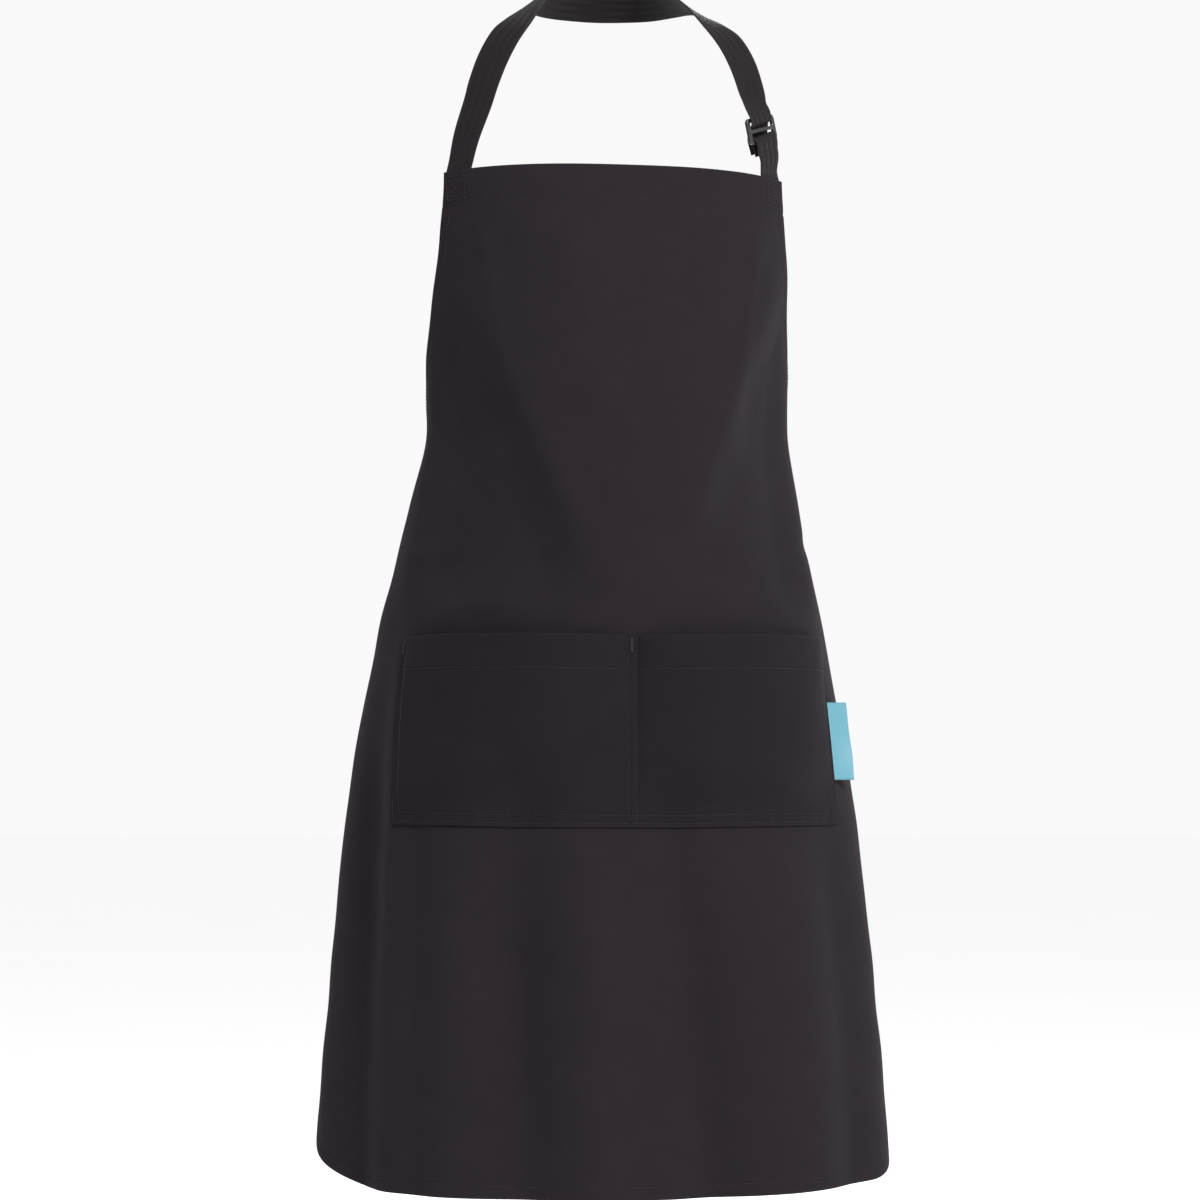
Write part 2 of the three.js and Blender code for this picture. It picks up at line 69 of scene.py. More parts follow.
NAPE = np.array([0.0, -66.8, -158.1])
scene = bpy.context.scene

# ---- camera, first ----------------------------------------------------------------------------------------------------
PHI = math.radians(8.19)
cam_data = bpy.data.cameras.new("camera")
cam = bpy.data.objects.new("camera", cam_data)
scene.collection.objects.link(cam)
scene.camera = cam
away = Vector((-math.sin(PHI), -math.cos(PHI), 0))
right = Vector((math.cos(PHI), -math.sin(PHI), 0))
aim_x = -0.0058
cam.location = Vector((0, -0.0668, 0)) + away * 2.6 + right * aim_x + Vector((0, 0, -0.6489))
cam_data.sensor_width = 36
cam_data.lens = 98.7
cam_data.clip_end = 200
target = Vector((0, -0.0668, 0)) + right * aim_x + Vector((0, 0, -0.6489 + 2.6 * math.tan(math.radians(3.49))))
cam.rotation_euler = (target - cam.location).to_track_quat("-Z", "Y").to_euler()

# ---- the cloth's surface ------------------------------------------------------------------------------------------------
LENGTH, HALF, BIB_HALF, BIB_LOW = 790.0, 345.0, 149.0, 181.0
CORNER_W, CORNER_H, CORNER_P = 130.0, 75.0, 1.6
TOP_HEM, SIDE_HEM, BOTTOM_HEM = 32.0, 13.0, 14.0
POCKET_HALF, POCKET_TOP, POCKET_FOOT, MOUTH_HEM = 192.0, 370.0, 515.0, 30.0
CLOTH, LAYERS = 0.8, 1.9                # one layer of canvas, and a turned edge
STRAP_T, STRAP_W, TIE_T = 1.4, 25.0, 1.2


def pchip(xs, ys):
    xs, ys = np.array(xs, float), np.array(ys, float)
    h, n = np.diff(xs), len(xs)
    m = np.diff(ys) / h
    d = np.zeros(n)
    for k in range(1, n - 1):
        if m[k - 1] * m[k] > 0:
            w1, w2 = 2 * h[k] + h[k - 1], h[k] + 2 * h[k - 1]
            d[k] = (w1 + w2) / (w1 / m[k - 1] + w2 / m[k])

    def end(h0, h1, m0, m1):
        e = ((2 * h0 + h1) * m0 - h0 * m1) / (h0 + h1)
        if np.sign(e) != np.sign(m0):
            return 0.0
        if np.sign(m0) != np.sign(m1) and abs(e) > abs(3 * m0):
            return 3 * m0
        return e

    d[0], d[-1] = end(h[0], h[1], m[0], m[1]), end(h[-1], h[-2], m[-1], m[-2])

    def f(x):
        x = np.asarray(x, float)
        k = np.clip(np.searchsorted(xs, x, side="left") - 1, 0, n - 2)
        t = (x - xs[k]) / h[k]
        return (ys[k] * (2 * t**3 - 3 * t**2 + 1) + h[k] * d[k] * (t**3 - 2 * t**2 + t)
                + ys[k + 1] * (-2 * t**3 + 3 * t**2) + h[k] * d[k + 1] * (t**3 - t**2))

    return f


KNOT_T = [0, 100, 200, 265, 370, 520, 660, 790]
breadth = pchip(KNOT_T, [152, 145.5, 144, 156, 180, 203.5, 217, 226])
forward = pchip(KNOT_T, [85, 107, 121, 121.5, 124, 133, 142, 151])
square = pchip([0, 265, 520, 790], [1.7, 1.15, 1.32, 1.57])
half_width = pchip([0, 55, 107, 150, 200, 240, 262, 270, 800],
                   [BIB_HALF, BIB_HALF + 0.35 * (BIB_LOW - BIB_HALF), BIB_LOW, BIB_LOW + 26, BIB_LOW + 72, BIB_LOW + 128, 342, HALF, HALF])

DT, DS = 2.0, 1.5
TT = np.arange(0, 798, DT)
_c = np.clip(TT, 0, LENGTH)
_p = square(_c)[:, None]
_g = (np.arange(400) + 0.5) / 400
_share = np.cos(np.pi / 2 * _g[None] ** _p).mean(1)
_quarter = breadth(_c) / _share
_mid = (np.arange(0, 366, DS) + DS / 2)[None] / _quarter[:, None]
_angle = np.where(_mid < 1, np.pi / 2 * np.minimum(_mid, 1) ** _p, np.pi / 2 * (1 + 1.25 * _p * (_mid - 1)))
XT = np.concatenate([np.zeros((len(TT), 1)), np.cumsum(DS * np.cos(_angle), 1)], 1)
YT = -forward(_c)[:, None] + np.concatenate([np.zeros((len(TT), 1)), np.cumsum(DS * np.sin(_angle), 1)], 1)
_tf = np.arange(0, 800.0)
_slope = (forward(np.clip(_tf + 0.51, 0, LENGTH)) - forward(np.clip(_tf + 0.49, 0, LENGTH))) / 0.02
_z = np.concatenate([[0], -np.cumsum(np.sqrt(np.maximum(1 - _slope**2, 0)))])


def height(t):
    c = np.clip(t, 0, 793)
    return np.interp(c, np.arange(len(_z)), _z) - np.minimum(0, t)


def base(s, t):
    s, t = np.broadcast_arrays(np.asarray(s, float), np.asarray(t, float))
    a = np.minimum(np.abs(s), 364.9) / DS
    j = np.floor(a).astype(int)
    f = a - j
    b = np.clip(t, 0, 792) / DT
    i = np.floor(b).astype(int)
    g = b - i

    def mix(A):
        return (A[i, j] * (1 - f) + A[i, j + 1] * f) * (1 - g) + (A[i + 1, j] * (1 - f) + A[i + 1, j + 1] * f) * g

    x = mix(XT) * np.where(s < 0, -1.0, 1.0)
    rise = 11 * np.clip((t - 265) / 525, 0, 1) * np.minimum(1, np.abs(s) / HALF) ** 2
    drop = np.clip(1 - t / 200, 0, 1) * (np.abs(s) / 150) ** 2
    return np.stack([x, mix(YT), height(t) - drop + rise], -1)


def unit(v):
    return v / np.maximum(np.linalg.norm(v, axis=-1, keepdims=True), 1e-12)


def normal(s, t):
    t = np.maximum(t, 0.01)
    ds = base(np.asarray(s) + 1.5, t) - base(np.asarray(s) - 1.5, t)
    dt = base(s, np.asarray(t) + 2) - base(s, np.asarray(t) - 2)
    return unit(np.cross(dt, ds))


def smooth(x, a, b):
    k = np.clip((x - a) / (b - a), 0, 1)
    return k * k * (3 - 2 * k)


def bump(x, c, w):
    return np.exp(-(((x - c) / w) ** 2))


_rng = np.random.RandomState(11)
_waves = [(_rng.uniform(0, 2 * np.pi), _rng.uniform(0, 2 * np.pi), _rng.uniform(0.6, 1.6)) for _ in range(26)]


def cockle(s, t, size, first=0, count=13):
    """Soft irregular waviness about size mm across, from -1 to 1."""
    out = 0
    for way, phase, freq in _waves[first:first + count]:
        k = 2 * np.pi * freq / size / 2
        out = out + np.sin(k * (s * math.cos(way) + t * math.sin(way) * 0.8) + phase)
    return out / math.sqrt(count / 2) / 1.8


def corner_lift(s):
    e = np.clip((np.abs(s) - (HALF - CORNER_W)) / CORNER_W, 0, 1)
    return CORNER_H * (1 - (1 - e**CORNER_P) ** (1 / CORNER_P))


_ce = np.sin(np.linspace(0, np.pi / 2, 120))
ROUND = np.stack([HALF - CORNER_W + CORNER_W * _ce, LENGTH - corner_lift(HALF - CORNER_W + CORNER_W * _ce)], 1)    # the cut corner's line


def edge_of(s, q):
    """How far a point of the cut cloth is from its edge, as the crow flies, in mm."""
    s, q = np.broadcast_arrays(np.asarray(s, float), np.asarray(q, float))
    a = np.abs(s)
    e = np.minimum(np.minimum(q, LENGTH - q), half_width(np.clip(q, 0, 800)) - a)
    near = (a > HALF - CORNER_W - 20) & (q > LENGTH - CORNER_H - 20)
    if near.any():
        pts = np.stack([a[near], q[near]], 1)
        best = np.full(len(pts), 1e9)
        for k in range(len(ROUND) - 1):
            p0, d = ROUND[k], ROUND[k + 1] - ROUND[k]
            f = np.clip(((pts - p0) @ d) / d.dot(d), 0, 1)
            best = np.minimum(best, np.hypot(*(pts - p0 - f[:, None] * d).T))
        e = e.copy()
        e[near] = np.minimum(e[near], best)
    return e


def folds(s, q):
    """How far the cloth stands off its fair curve where it hangs in folds."""
    low = smooth(q, 400, 640)
    ridge = (6.2 * bump(s, -38 + 0.05 * (q - 600), 30) + 5.2 * bump(s, -141 - 0.03 * (q - 600), 27)
             - 4.2 * bump(s, -90 + 0.02 * (q - 600), 22) - 5.6 * bump(s, 38 + 0.10 * (q - 600), 24)
             + 4.2 * bump(s, 118 + 0.05 * (q - 600), 40) - 2.4 * bump(s, 182 + 0.03 * (q - 600), 20) + 2.0 * bump(s, 232, 24))
    out = low * ridge
    # the near side turns in along one upright fold
    out = out + smooth(q, 330, 430) * 4.0 * bump(s, -190, 17) * (0.75 + 0.25 * low) - smooth(q, 360, 520) * 3.0 * bump(s, -226, 20)
    out = out + low * (3.0 * bump(s, -275, 26) - 2.4 * bump(s, 285, 22))
    # the bib falls back beside a wedge that narrows down to the waist
    wedge = 168 - 0.46 * np.clip(q - 40, 0, 400)
    side = smooth(np.abs(s) - wedge, -30, 38) * smooth(q, 60, 200) * (1 - smooth(q, 300, 372)) * (1 - smooth(np.abs(s), 150, 205))
    out = out - 7.5 * side
    out = out + 1.6 * smooth(q, 70, 170) * (1 - smooth(q, 240, 330)) * bump(np.abs(s), wedge - 12, 16)
    # soft creases that run from the straps' sewn ends and across the waist
    for side_sign, c0, lean in ((-1, 118, 0.16), (1, 120, 0.2)):
        line = side_sign * (c0 - lean * (q - 30))
        out = out + 1.1 * bump(s, line, 9) * smooth(q, 34, 70) * (1 - smooth(q, 120, 210))
    for c, w, a, lo, hi in ((292, 7, 0.9, -240, -120), (304, 8, -0.8, 110, 250), (322, 9, 0.8, 60, 200), (338, 8, 0.7, -190, -60)):
        out = out + a * bump(q + 0.06 * s, c, w) * smooth(s, lo, lo + 50) * (1 - smooth(s, hi - 50, hi))
    calm = (1 - 0.85 * bump(q, 0, 26)) * (1 - 0.95 * bump(s, 190, 27) * smooth(q, 390, 405) * (1 - smooth(q, 495, 515)))
    calm = calm * (1 - smooth(np.abs(s), 300, 322) * bump(q, 277, 24))
    out = out + 0.85 * cockle(s, q, 95) + 0.35 * cockle(s, q, 34, 13)
    return 1.7 * out * calm


SEAMS = []          # (function giving the distance from a line of stitching, how deep it bites)


def bite(s, q):
    """The dimple and fine puckers along the panel's rows of stitching."""
    out = 0
    ripple = 0.5 + 0.5 * np.sin(2 * np.pi * (s * 0.9 + q * 0.7) / 8.3 + 1.7 * np.sin(s / 21.0) + 1.3 * np.sin(q / 17.0))
    for dist, deep in SEAMS:
        d = dist(s, q)
        out = out - deep * (0.28 * np.exp(-((d / 1.1) ** 2)) + 0.24 * ripple * np.exp(-((d / 4.5) ** 2)))
    return out


def surf(s, q, off):
    p, n = base(s, q), normal(s, q)
    return p + n * (np.asarray(off) + folds(s, q))[..., None]


HEM_LINE = {"top": 28.0, "side": 9.5, "bottom": 10.0}
SEAMS.append((lambda s, q: q - HEM_LINE["top"], 1.0))
SEAMS.append((lambda s, q: np.where(q > HEM_LINE["top"] + 3, edge_of(s, q) - HEM_LINE["side"], 99.0), 1.0))


def hem_mask(s, q):
    top = 1 - smooth(q, TOP_HEM - 0.3, TOP_HEM + 0.3)
    corner = (np.abs(s) > HALF - CORNER_W) & (q > LENGTH - CORNER_H)
    soft = np.where(corner, 1.8, 0.3)
    e = edge_of(s, q)
    rim = 1 - smooth((e - SIDE_HEM) / soft, -1, 1)
    return np.maximum(top, rim)


def rim_drop(e, thick):
    """A fold's round edge: how far each face falls towards the middle."""
    r = thick / 2
    k = np.clip(e, 0, r)
    return r - np.sqrt(np.maximum(r * r - (r - k) ** 2, 0))


# ---- mesh helpers -------------------------------------------------------------------------------------------------------
def put(v):
    return (np.asarray(v, float).reshape(-1, 3) + NAPE) / 1000


def mesh(name, v, faces, mat, uv=None, wear=None):
    v = np.asarray(v, float).reshape(-1, 3)
    faces = np.asarray(faces) if not isinstance(faces, list) else faces
    tri = []
    vol = 0.0
    if isinstance(faces, np.ndarray):
        a, b, c = v[faces[:, 0]], v[faces[:, 1]], v[faces[:, 2]]
        vol = np.einsum("ij,ij->i", a, np.cross(b, c)).sum()
        if faces.shape[1] == 4:
            vol += np.einsum("ij,ij->i", a, np.cross(c, v[faces[:, 3]])).sum()
        if vol < 0:
            faces = faces[:, ::-1]
        faces = faces.tolist()
    else:
        for f in faces:
            for k in range(1, len(f) - 1):
                tri.append((f[0], f[k], f[k + 1]))
        t = np.array(tri)
        vol = np.einsum("ij,ij->i", v[t[:, 0]], np.cross(v[t[:, 1]], v[t[:, 2]])).sum()
        if vol < 0:
            faces = [list(f)[::-1] for f in faces]
    me = bpy.data.meshes.new(name)
    me.from_pydata(put(v).tolist(), [], faces)
    me.polygons.foreach_set("use_smooth", [True] * len(me.polygons))
    if uv is not None:
        layer = me.uv_layers.new(name="UVMap")
        idx = np.zeros(len(me.loops), np.int32)
        me.loops.foreach_get("vertex_index", idx)
        layer.data.foreach_set("uv", (np.asarray(uv, np.float32).reshape(-1, 2) / 1000)[idx].ravel())
    a = me.attributes.new("wear", "FLOAT", "POINT")
    if wear is not None:
        a.data.foreach_set("value", np.asarray(wear, np.float32).ravel())
    me.materials.append(mat)
    me.update()
    o = bpy.data.objects.new(name, me)
    scene.collection.objects.link(o)
    return o


def shell(name, S, Q, outer, inner, where, mat, wear=None):
    """A closed layer of cloth over a grid of places: its two faces meet along the edge."""
    m, n = S.shape
    po, pi = where(S, Q, outer), where(S, Q, inner)
    io = np.arange(m * n).reshape(m, n)
    ii = io.copy()
    ii[1:-1, 1:-1] = m * n + np.arange((m - 2) * (n - 2)).reshape(m - 2, n - 2)
    v = np.concatenate([po.reshape(-1, 3), pi[1:-1, 1:-1].reshape(-1, 3)])
    quad = lambda I: np.stack([I[:-1, :-1], I[:-1, 1:], I[1:, 1:], I[1:, :-1]], -1).reshape(-1, 4)
    faces = np.concatenate([quad(io), quad(ii)[:, ::-1]])
    uv = np.stack([S, Q], -1)
    uv = np.concatenate([uv.reshape(-1, 2), uv[1:-1, 1:-1].reshape(-1, 2)])
    w = None if wear is None else np.concatenate([wear.ravel(), wear[1:-1, 1:-1].ravel()])
    return mesh(name, v, faces, mat, uv, w)


def catmull(points, per):
    p = np.asarray(points, float)
    p = np.concatenate([[2 * p[0] - p[1]], p, [2 * p[-1] - p[-2]]])
    out = []
    for k in range(1, len(p) - 2):
        t = (np.arange(per) / per)[:, None]
        a, b, c, d = p[k - 1], p[k], p[k + 1], p[k + 2]
        out.append(0.5 * (2 * b + (c - a) * t + (2 * a - 5 * b + 4 * c - d) * t**2 + (3 * b - a - 3 * c + d) * t**3))
    return np.concatenate(out + [p[-2][None]])


def even(mid, step, *others):
    """The same line with its points a step apart."""
    d = np.concatenate([[0], np.cumsum(np.linalg.norm(np.diff(mid, axis=0), axis=1))])
    n = max(2, int(round(d[-1] / step)) + 1)
    want = np.linspace(0, d[-1], n)
    pick = lambda a: np.stack([np.interp(want, d, a[:, k]) for k in range(a.shape[1])], 1)
    return want, pick(mid), [pick(np.asarray(o, float).reshape(len(mid), -1)) for o in others]


def ribbon(name, mid, across, wide, thick, mat, cup=None, cols=16, step=1.6, wave=0.0, seed=0, slack=None):
    """Flat tape with round selvedges. cup bows it across its width, in mm; slack is not used, and wave adds a soft
    ripple to its run.
    """
    if cup is None:
        cup = np.zeros(len(mid))
    along, mid, (across, wide, cup) = even(mid, step, across, wide, cup)
    wide, cup = wide[:, 0], cup[:, 0]
    way = unit(np.gradient(mid, axis=0))
    across = unit(across - (across * way).sum(1, keepdims=True) * way)
    face = np.cross(way, across)
    if wave:
        mid = mid + face * (wave * np.sin(along / 23.0 + seed) * np.sin(along / 61.0 + 2 * seed))[:, None]
    r = thick / 2
    a = np.linspace(-1, 1, cols)
    arc = np.linspace(-np.pi / 2, np.pi / 2, 6)[1:-1]
    rows_v, rows_uv = [], []
    n = len(mid)
    W = (wide / 2 - r)[:, None]
    prof_a = np.concatenate([a, np.ones(4), a[::-1], -np.ones(4)])
    plus_a = np.concatenate([np.zeros(cols), np.cos(arc), np.zeros(cols), -np.cos(arc)])
    plus_b = np.concatenate([np.full(cols, 1.0), -np.sin(arc), np.full(cols, -1.0), np.sin(arc)])
    edge = np.abs(prof_a) ** 6
    thin = 1 - 0.12 * np.exp(-(((np.abs(prof_a) - 0.86) / 0.07) ** 2))
    A = W * prof_a[None] + r * plus_a[None]
    B = r * plus_b[None] * thin[None] + cup[:, None] * (prof_a[None] ** 2 - 0.33)
    v = mid[:, None] + across[:, None] * A[..., None] + face[:, None] * B[..., None]
    m = len(prof_a)
    idx = np.arange(n * m).reshape(n, m)
    nxt = np.roll(idx, -1, axis=1)
    faces = np.stack([idx[:-1], nxt[:-1], nxt[1:], idx[1:]], -1).reshape(-1, 4).tolist()
    # close both ends row by row, between the two faces
    for k, flip in ((0, False), (n - 1, True)):
        top, bot = idx[k, :cols], idx[k, cols + 4:2 * cols + 4][::-1]
        rightside, leftside = idx[k, cols:cols + 4], idx[k, 2 * cols + 4:]
        ends = [[top[c], bot[c], bot[c + 1], top[c + 1]] for c in range(cols - 1)]
        ends.append([top[-1], bot[-1], *rightside[::-1]])
        ends.append([bot[0], top[0], *leftside[::-1]])
        for f in ends:
            faces.append([int(x) for x in (f[::-1] if flip else f)])
    uv = np.stack([np.broadcast_to(A, (n, m)) * 12.5 / np.maximum(wide[:, None] / 2, 1), np.broadcast_to(along[:, None], (n, m))], -1)
    wear = np.broadcast_to(edge[None], (n, m))
    return mesh(name, v.reshape(-1, 3), faces, mat, uv, wear)


def stitches(name, lines, mat, pitch=3.1, r=0.27, lift=0.16):
    """Rows of thread. Each line is (points, outward directions): a smooth path on a face, and its normal there."""
    V, F = [], []
    ring = np.linspace(0, 2 * np.pi, 7)[:-1]
    share = np.array([0.0, 0.12, 0.35, 0.65, 0.88, 1.0])
    size = np.array([0.35, 0.85, 1.0, 1.0, 0.85, 0.35])
    high = np.array([-0.34, -0.05, 0.16, 0.16, -0.05, -0.34])
    count = 0
    for pts, nrm in lines:
        d = np.concatenate([[0], np.cumsum(np.linalg.norm(np.diff(pts, axis=0), axis=1))])
        n = max(1, int(round(d[-1] / pitch)))
        p = d[-1] / n
        lo = np.arange(n) * p + 0.22
        at = lo[:, None] + share[None] * (p - 0.44)
        c = np.stack([np.interp(at, d, pts[:, k]) for k in range(3)], -1)
        nn = unit(np.stack([np.interp(at, d, nrm[:, k]) for k in range(3)], -1))
        way = unit(c[:, -1] - c[:, 0])[:, None]
        nn = unit(nn - (nn * way).sum(-1, keepdims=True) * way)
        side = np.cross(way, nn)
        c = c + nn * (lift + high[None, :, None] * 1.0 * r / 0.27)
        v = c[:, :, None] + (side[:, :, None] * np.cos(ring)[None, None, :, None] + nn[:, :, None] * np.sin(ring)[None, None, :, None]) * (r * size)[None, :, None, None]
        V.append(v.reshape(-1, 3))
        k6 = len(share)
        idx = count + np.arange(n * k6 * 6).reshape(n, k6, 6)
        nx = np.roll(idx, -1, axis=2)
        F.append(np.stack([idx[:, :-1], nx[:, :-1], nx[:, 1:], idx[:, 1:]], -1).reshape(-1, 4).tolist())
        F.append(idx[:, 0, ::-1].tolist())
        F.append(idx[:, -1].tolist())
        count += n * k6 * 6
    faces = [f for g in F for f in g]
    return mesh(name, np.concatenate(V), faces, mat, np.zeros((count, 2)))


def on_face(s, q, off):
    """A stitched line laid on a face of the cloth, as (points, outward directions)."""
    s, q = np.broadcast_arrays(np.asarray(s, float), np.asarray(q, float))
    p = surf(s, q, off)
    return p, normal(s, q)


# ---- materials ------------------------------------------------------------------------------------------------------------
class Nodes:
    def __init__(self, name):
        self.mat = bpy.data.materials.new(name)
        self.mat.use_nodes = True
        self.t = self.mat.node_tree
        self.b = self.t.nodes["Principled BSDF"]

    def add(self, kind, **put_in):
        n = self.t.nodes.new(kind)
        for k, v in put_in.items():
            if k.startswith("in_"):
                n.inputs[int(k[3:])].default_value = v
            else:
                setattr(n, k, v)
        return n

    def link(self, a, b):
        self.t.links.new(a, b)

    def math(self, op, a, b=None):
        n = self.add("ShaderNodeMath", operation=op)
        for k, x in enumerate((a, b)):
            if x is None:
                continue
            if hasattr(x, "links"):
                self.link(x, n.inputs[k])
            else:
                n.inputs[k].default_value = x
        return n.outputs[0]

    def uv(self, sx=1.0, sy=1.0):
        c = self.add("ShaderNodeTexCoord")
        m = self.add("ShaderNodeMapping")
        m.inputs["Scale"].default_value = (sx, sy, 1)
        self.link(c.outputs["UV"], m.inputs["Vector"])
        return m.outputs[0]

    def solid(self, s=1.0):
        c = self.add("ShaderNodeTexCoord")
        m = self.add("ShaderNodeMapping")
        m.inputs["Scale"].default_value = (s, s, s)
        self.link(c.outputs["Object"], m.inputs["Vector"])
        return m.outputs[0]

    def noise(self, vec, scale, detail=3.0, rough=0.55):
        n = self.add("ShaderNodeTexNoise")
        n.inputs["Scale"].default_value = scale
        n.inputs["Detail"].default_value = detail
        n.inputs["Roughness"].default_value = rough
        self.link(vec, n.inputs["Vector"])
        return n.outputs["Fac"]

    def ramp(self, fac, lo, hi, a, b):
        n = self.add("ShaderNodeMapRange")
        n.inputs["From Min"].default_value = lo
        n.inputs["From Max"].default_value = hi
        n.inputs["To Min"].default_value = a
        n.inputs["To Max"].default_value = b
        self.link(fac, n.inputs["Value"])
        return n.outputs[0]

    def mix(self, fac, a, b):
        n = self.add("ShaderNodeMix", data_type="RGBA")
        for k, x in ((0, fac), (6, a), (7, b)):
            if hasattr(x, "links"):
                self.link(x, n.inputs[k])
            else:
                n.inputs[k].default_value = x
        return n.outputs[2]

    def bump(self, heightv, dist, strength=1.0, under=None):
        n = self.add("ShaderNodeBump")
        n.inputs["Strength"].default_value = strength
        n.inputs["Distance"].default_value = dist
        self.link(heightv, n.inputs["Height"])
        if under is not None:
            self.link(under, n.inputs["Normal"])
        return n.outputs[0]

    def split(self, vec):
        n = self.add("ShaderNodeSeparateXYZ")
        self.link(vec, n.inputs[0])
        return n.outputs[0], n.outputs[1]

    def wear(self):
        return self.add("ShaderNodeAttribute", attribute_name="wear").outputs["Fac"]

    def set(self, **kw):
        for k, v in kw.items():
            self.b.inputs[k.replace("_", " ")].default_value = v


def canvas_material(name, tint, painted_shade_factor=1.0):
    """Dense plain-weave canvas: round yarns crossing, thick and thin places, a little surface fuzz. The last argument,
    below 1, darkens every colour as painted shade.
    """
    N = Nodes(name)
    u, v = N.split(N.uv())
    pitch = 0.00078
    # yarns wander a little, so the weave isn't ruled
    drift = N.noise(N.uv(90, 90), 1.0, 2.0)
    wob = N.math("MULTIPLY", N.math("SUBTRACT", drift, 0.5), 0.0011)
    a = N.math("SINE", N.math("MULTIPLY", N.math("ADD", u, wob), 2 * math.pi / pitch / 1.0))
    b = N.math("SINE", N.math("MULTIPLY", N.math("ADD", v, wob), 2 * math.pi / pitch / 1.0))
    cross = N.math("MULTIPLY", a, b)
    weave = N.math("ADD", N.math("MULTIPLY", cross, 0.5), 0.5)
    slub_w = N.noise(N.uv(900, 42), 1.0, 3.0)
    slub_v = N.noise(N.uv(36, 800), 1.0, 3.0)
    slub = N.math("MULTIPLY", N.math("ADD", slub_w, slub_v), 0.5)
    fuzz = N.noise(N.uv(2600, 2600), 1.0, 2.0, 0.7)
    broad = N.noise(N.uv(7, 7), 1.0, 4.0)
    cloud = N.noise(N.uv(38, 38), 1.0, 4.0, 0.6)
    dark = tuple(x * 0.80 * painted_shade_factor for x in tint) + (1,)
    mid = tuple(x * painted_shade_factor for x in tint) + (1,)
    light = tuple(x * 1.9 * painted_shade_factor for x in tint) + (1,)
    c = N.mix(N.ramp(slub, 0.40, 0.60, 0, 1), dark, mid)
    c = N.mix(N.math("MULTIPLY", N.ramp(weave, 0.1, 1.0, 0, 1), 0.30), c, light)
    c = N.mix(N.math("MULTIPLY", N.ramp(fuzz, 0.62, 0.80, 0, 1), 0.45), c, light)
    c = N.mix(N.math("MULTIPLY", N.ramp(broad, 0.35, 0.68, 0, 1), 0.22), c, dark)
    c = N.mix(N.math("MULTIPLY", N.ramp(cloud, 0.5, 0.75, 0, 1), 0.12), c, light)
    c = N.mix(N.math("MULTIPLY", N.wear(), 0.20), c, light)
    N.link(c, N.b.inputs["Base Color"])
    N.link(N.math("ADD", N.ramp(slub, 0.35, 0.65, 0.80, 0.90), N.math("MULTIPLY", fuzz, 0.06)), N.b.inputs["Roughness"])
    n1 = N.bump(cloud, 0.0012, 0.35)
    n2 = N.bump(slub, 0.00030, 0.6, n1)
    n3 = N.bump(weave, 0.00016, 0.8, n2)
    N.link(N.bump(fuzz, 0.00008, 0.5, n3), N.b.inputs["Normal"])
    N.set(Sheen_Weight=0.02, Sheen_Roughness=0.5, Specular_IOR_Level=0.06)
    N.b.inputs["Sheen Tint"].default_value = (0.86, 0.80, 0.92, 1)
    return N.mat


def webbing_material(name, tint, rib, column, rough=(0.55, 0.72), sheen=0.12):
    """Woven strap: slanting picks that change direction column by column, with firm selvedges."""
    N = Nodes(name)
    u, v = N.split(N.uv())
    fold = N.math("PINGPONG", N.math("ADD", u, 0.05), column)
    slant = N.math("ADD", v, N.math("MULTIPLY", fold, 0.9))
    pick = N.math("ADD", N.math("MULTIPLY", N.math("SINE", N.math("MULTIPLY", slant, 2 * math.pi / rib)), 0.5), 0.5)
    col = N.math("ADD", N.math("MULTIPLY", N.math("SINE", N.math("MULTIPLY", u, 2 * math.pi / column)), 0.5), 0.5)
    hair = N.noise(N.uv(1800, 500), 1.0, 3.0, 0.65)
    patch = N.noise(N.uv(30, 14), 1.0, 3.0)
    dark = tuple(x * 0.55 for x in tint) + (1,)
    mid = tuple(tint) + (1,)
    light = tuple(x * 2.1 for x in tint) + (1,)
    c = N.mix(N.ramp(pick, 0.1, 0.9, 0, 1), dark, mid)
    c = N.mix(N.math("MULTIPLY", N.ramp(hair, 0.5, 0.78, 0, 1), 0.4), c, light)
    c = N.mix(N.math("MULTIPLY", N.ramp(patch, 0.35, 0.7, 0, 1), 0.25), c, dark)
    c = N.mix(N.math("MULTIPLY", N.wear(), 0.28), c, light)
    N.link(c, N.b.inputs["Base Color"])
    N.link(N.ramp(hair, 0.3, 0.7, rough[0], rough[1]), N.b.inputs["Roughness"])
    n1 = N.bump(col, 0.00018, 0.5)
    n2 = N.bump(pick, 0.00032, 0.85, n1)
    N.link(N.bump(hair, 0.0001, 0.4, n2), N.b.inputs["Normal"])
    N.set(Sheen_Weight=sheen, Sheen_Roughness=0.4, Specular_IOR_Level=0.10)
    return N.mat


def thread_material():
    N = Nodes("sewing_thread")
    tw = N.noise(N.solid(1500), 1.0, 2.0)
    c = N.mix(N.ramp(tw, 0.35, 0.65, 0, 1), (0.004, 0.0035, 0.004, 1), (0.014, 0.012, 0.014, 1))
    N.link(c, N.b.inputs["Base Color"])
    N.link(N.ramp(tw, 0.3, 0.7, 0.42, 0.6), N.b.inputs["Roughness"])
    N.link(N.bump(tw, 0.00012, 0.6), N.b.inputs["Normal"])
    N.set(Specular_IOR_Level=0.2)
    return N.mat


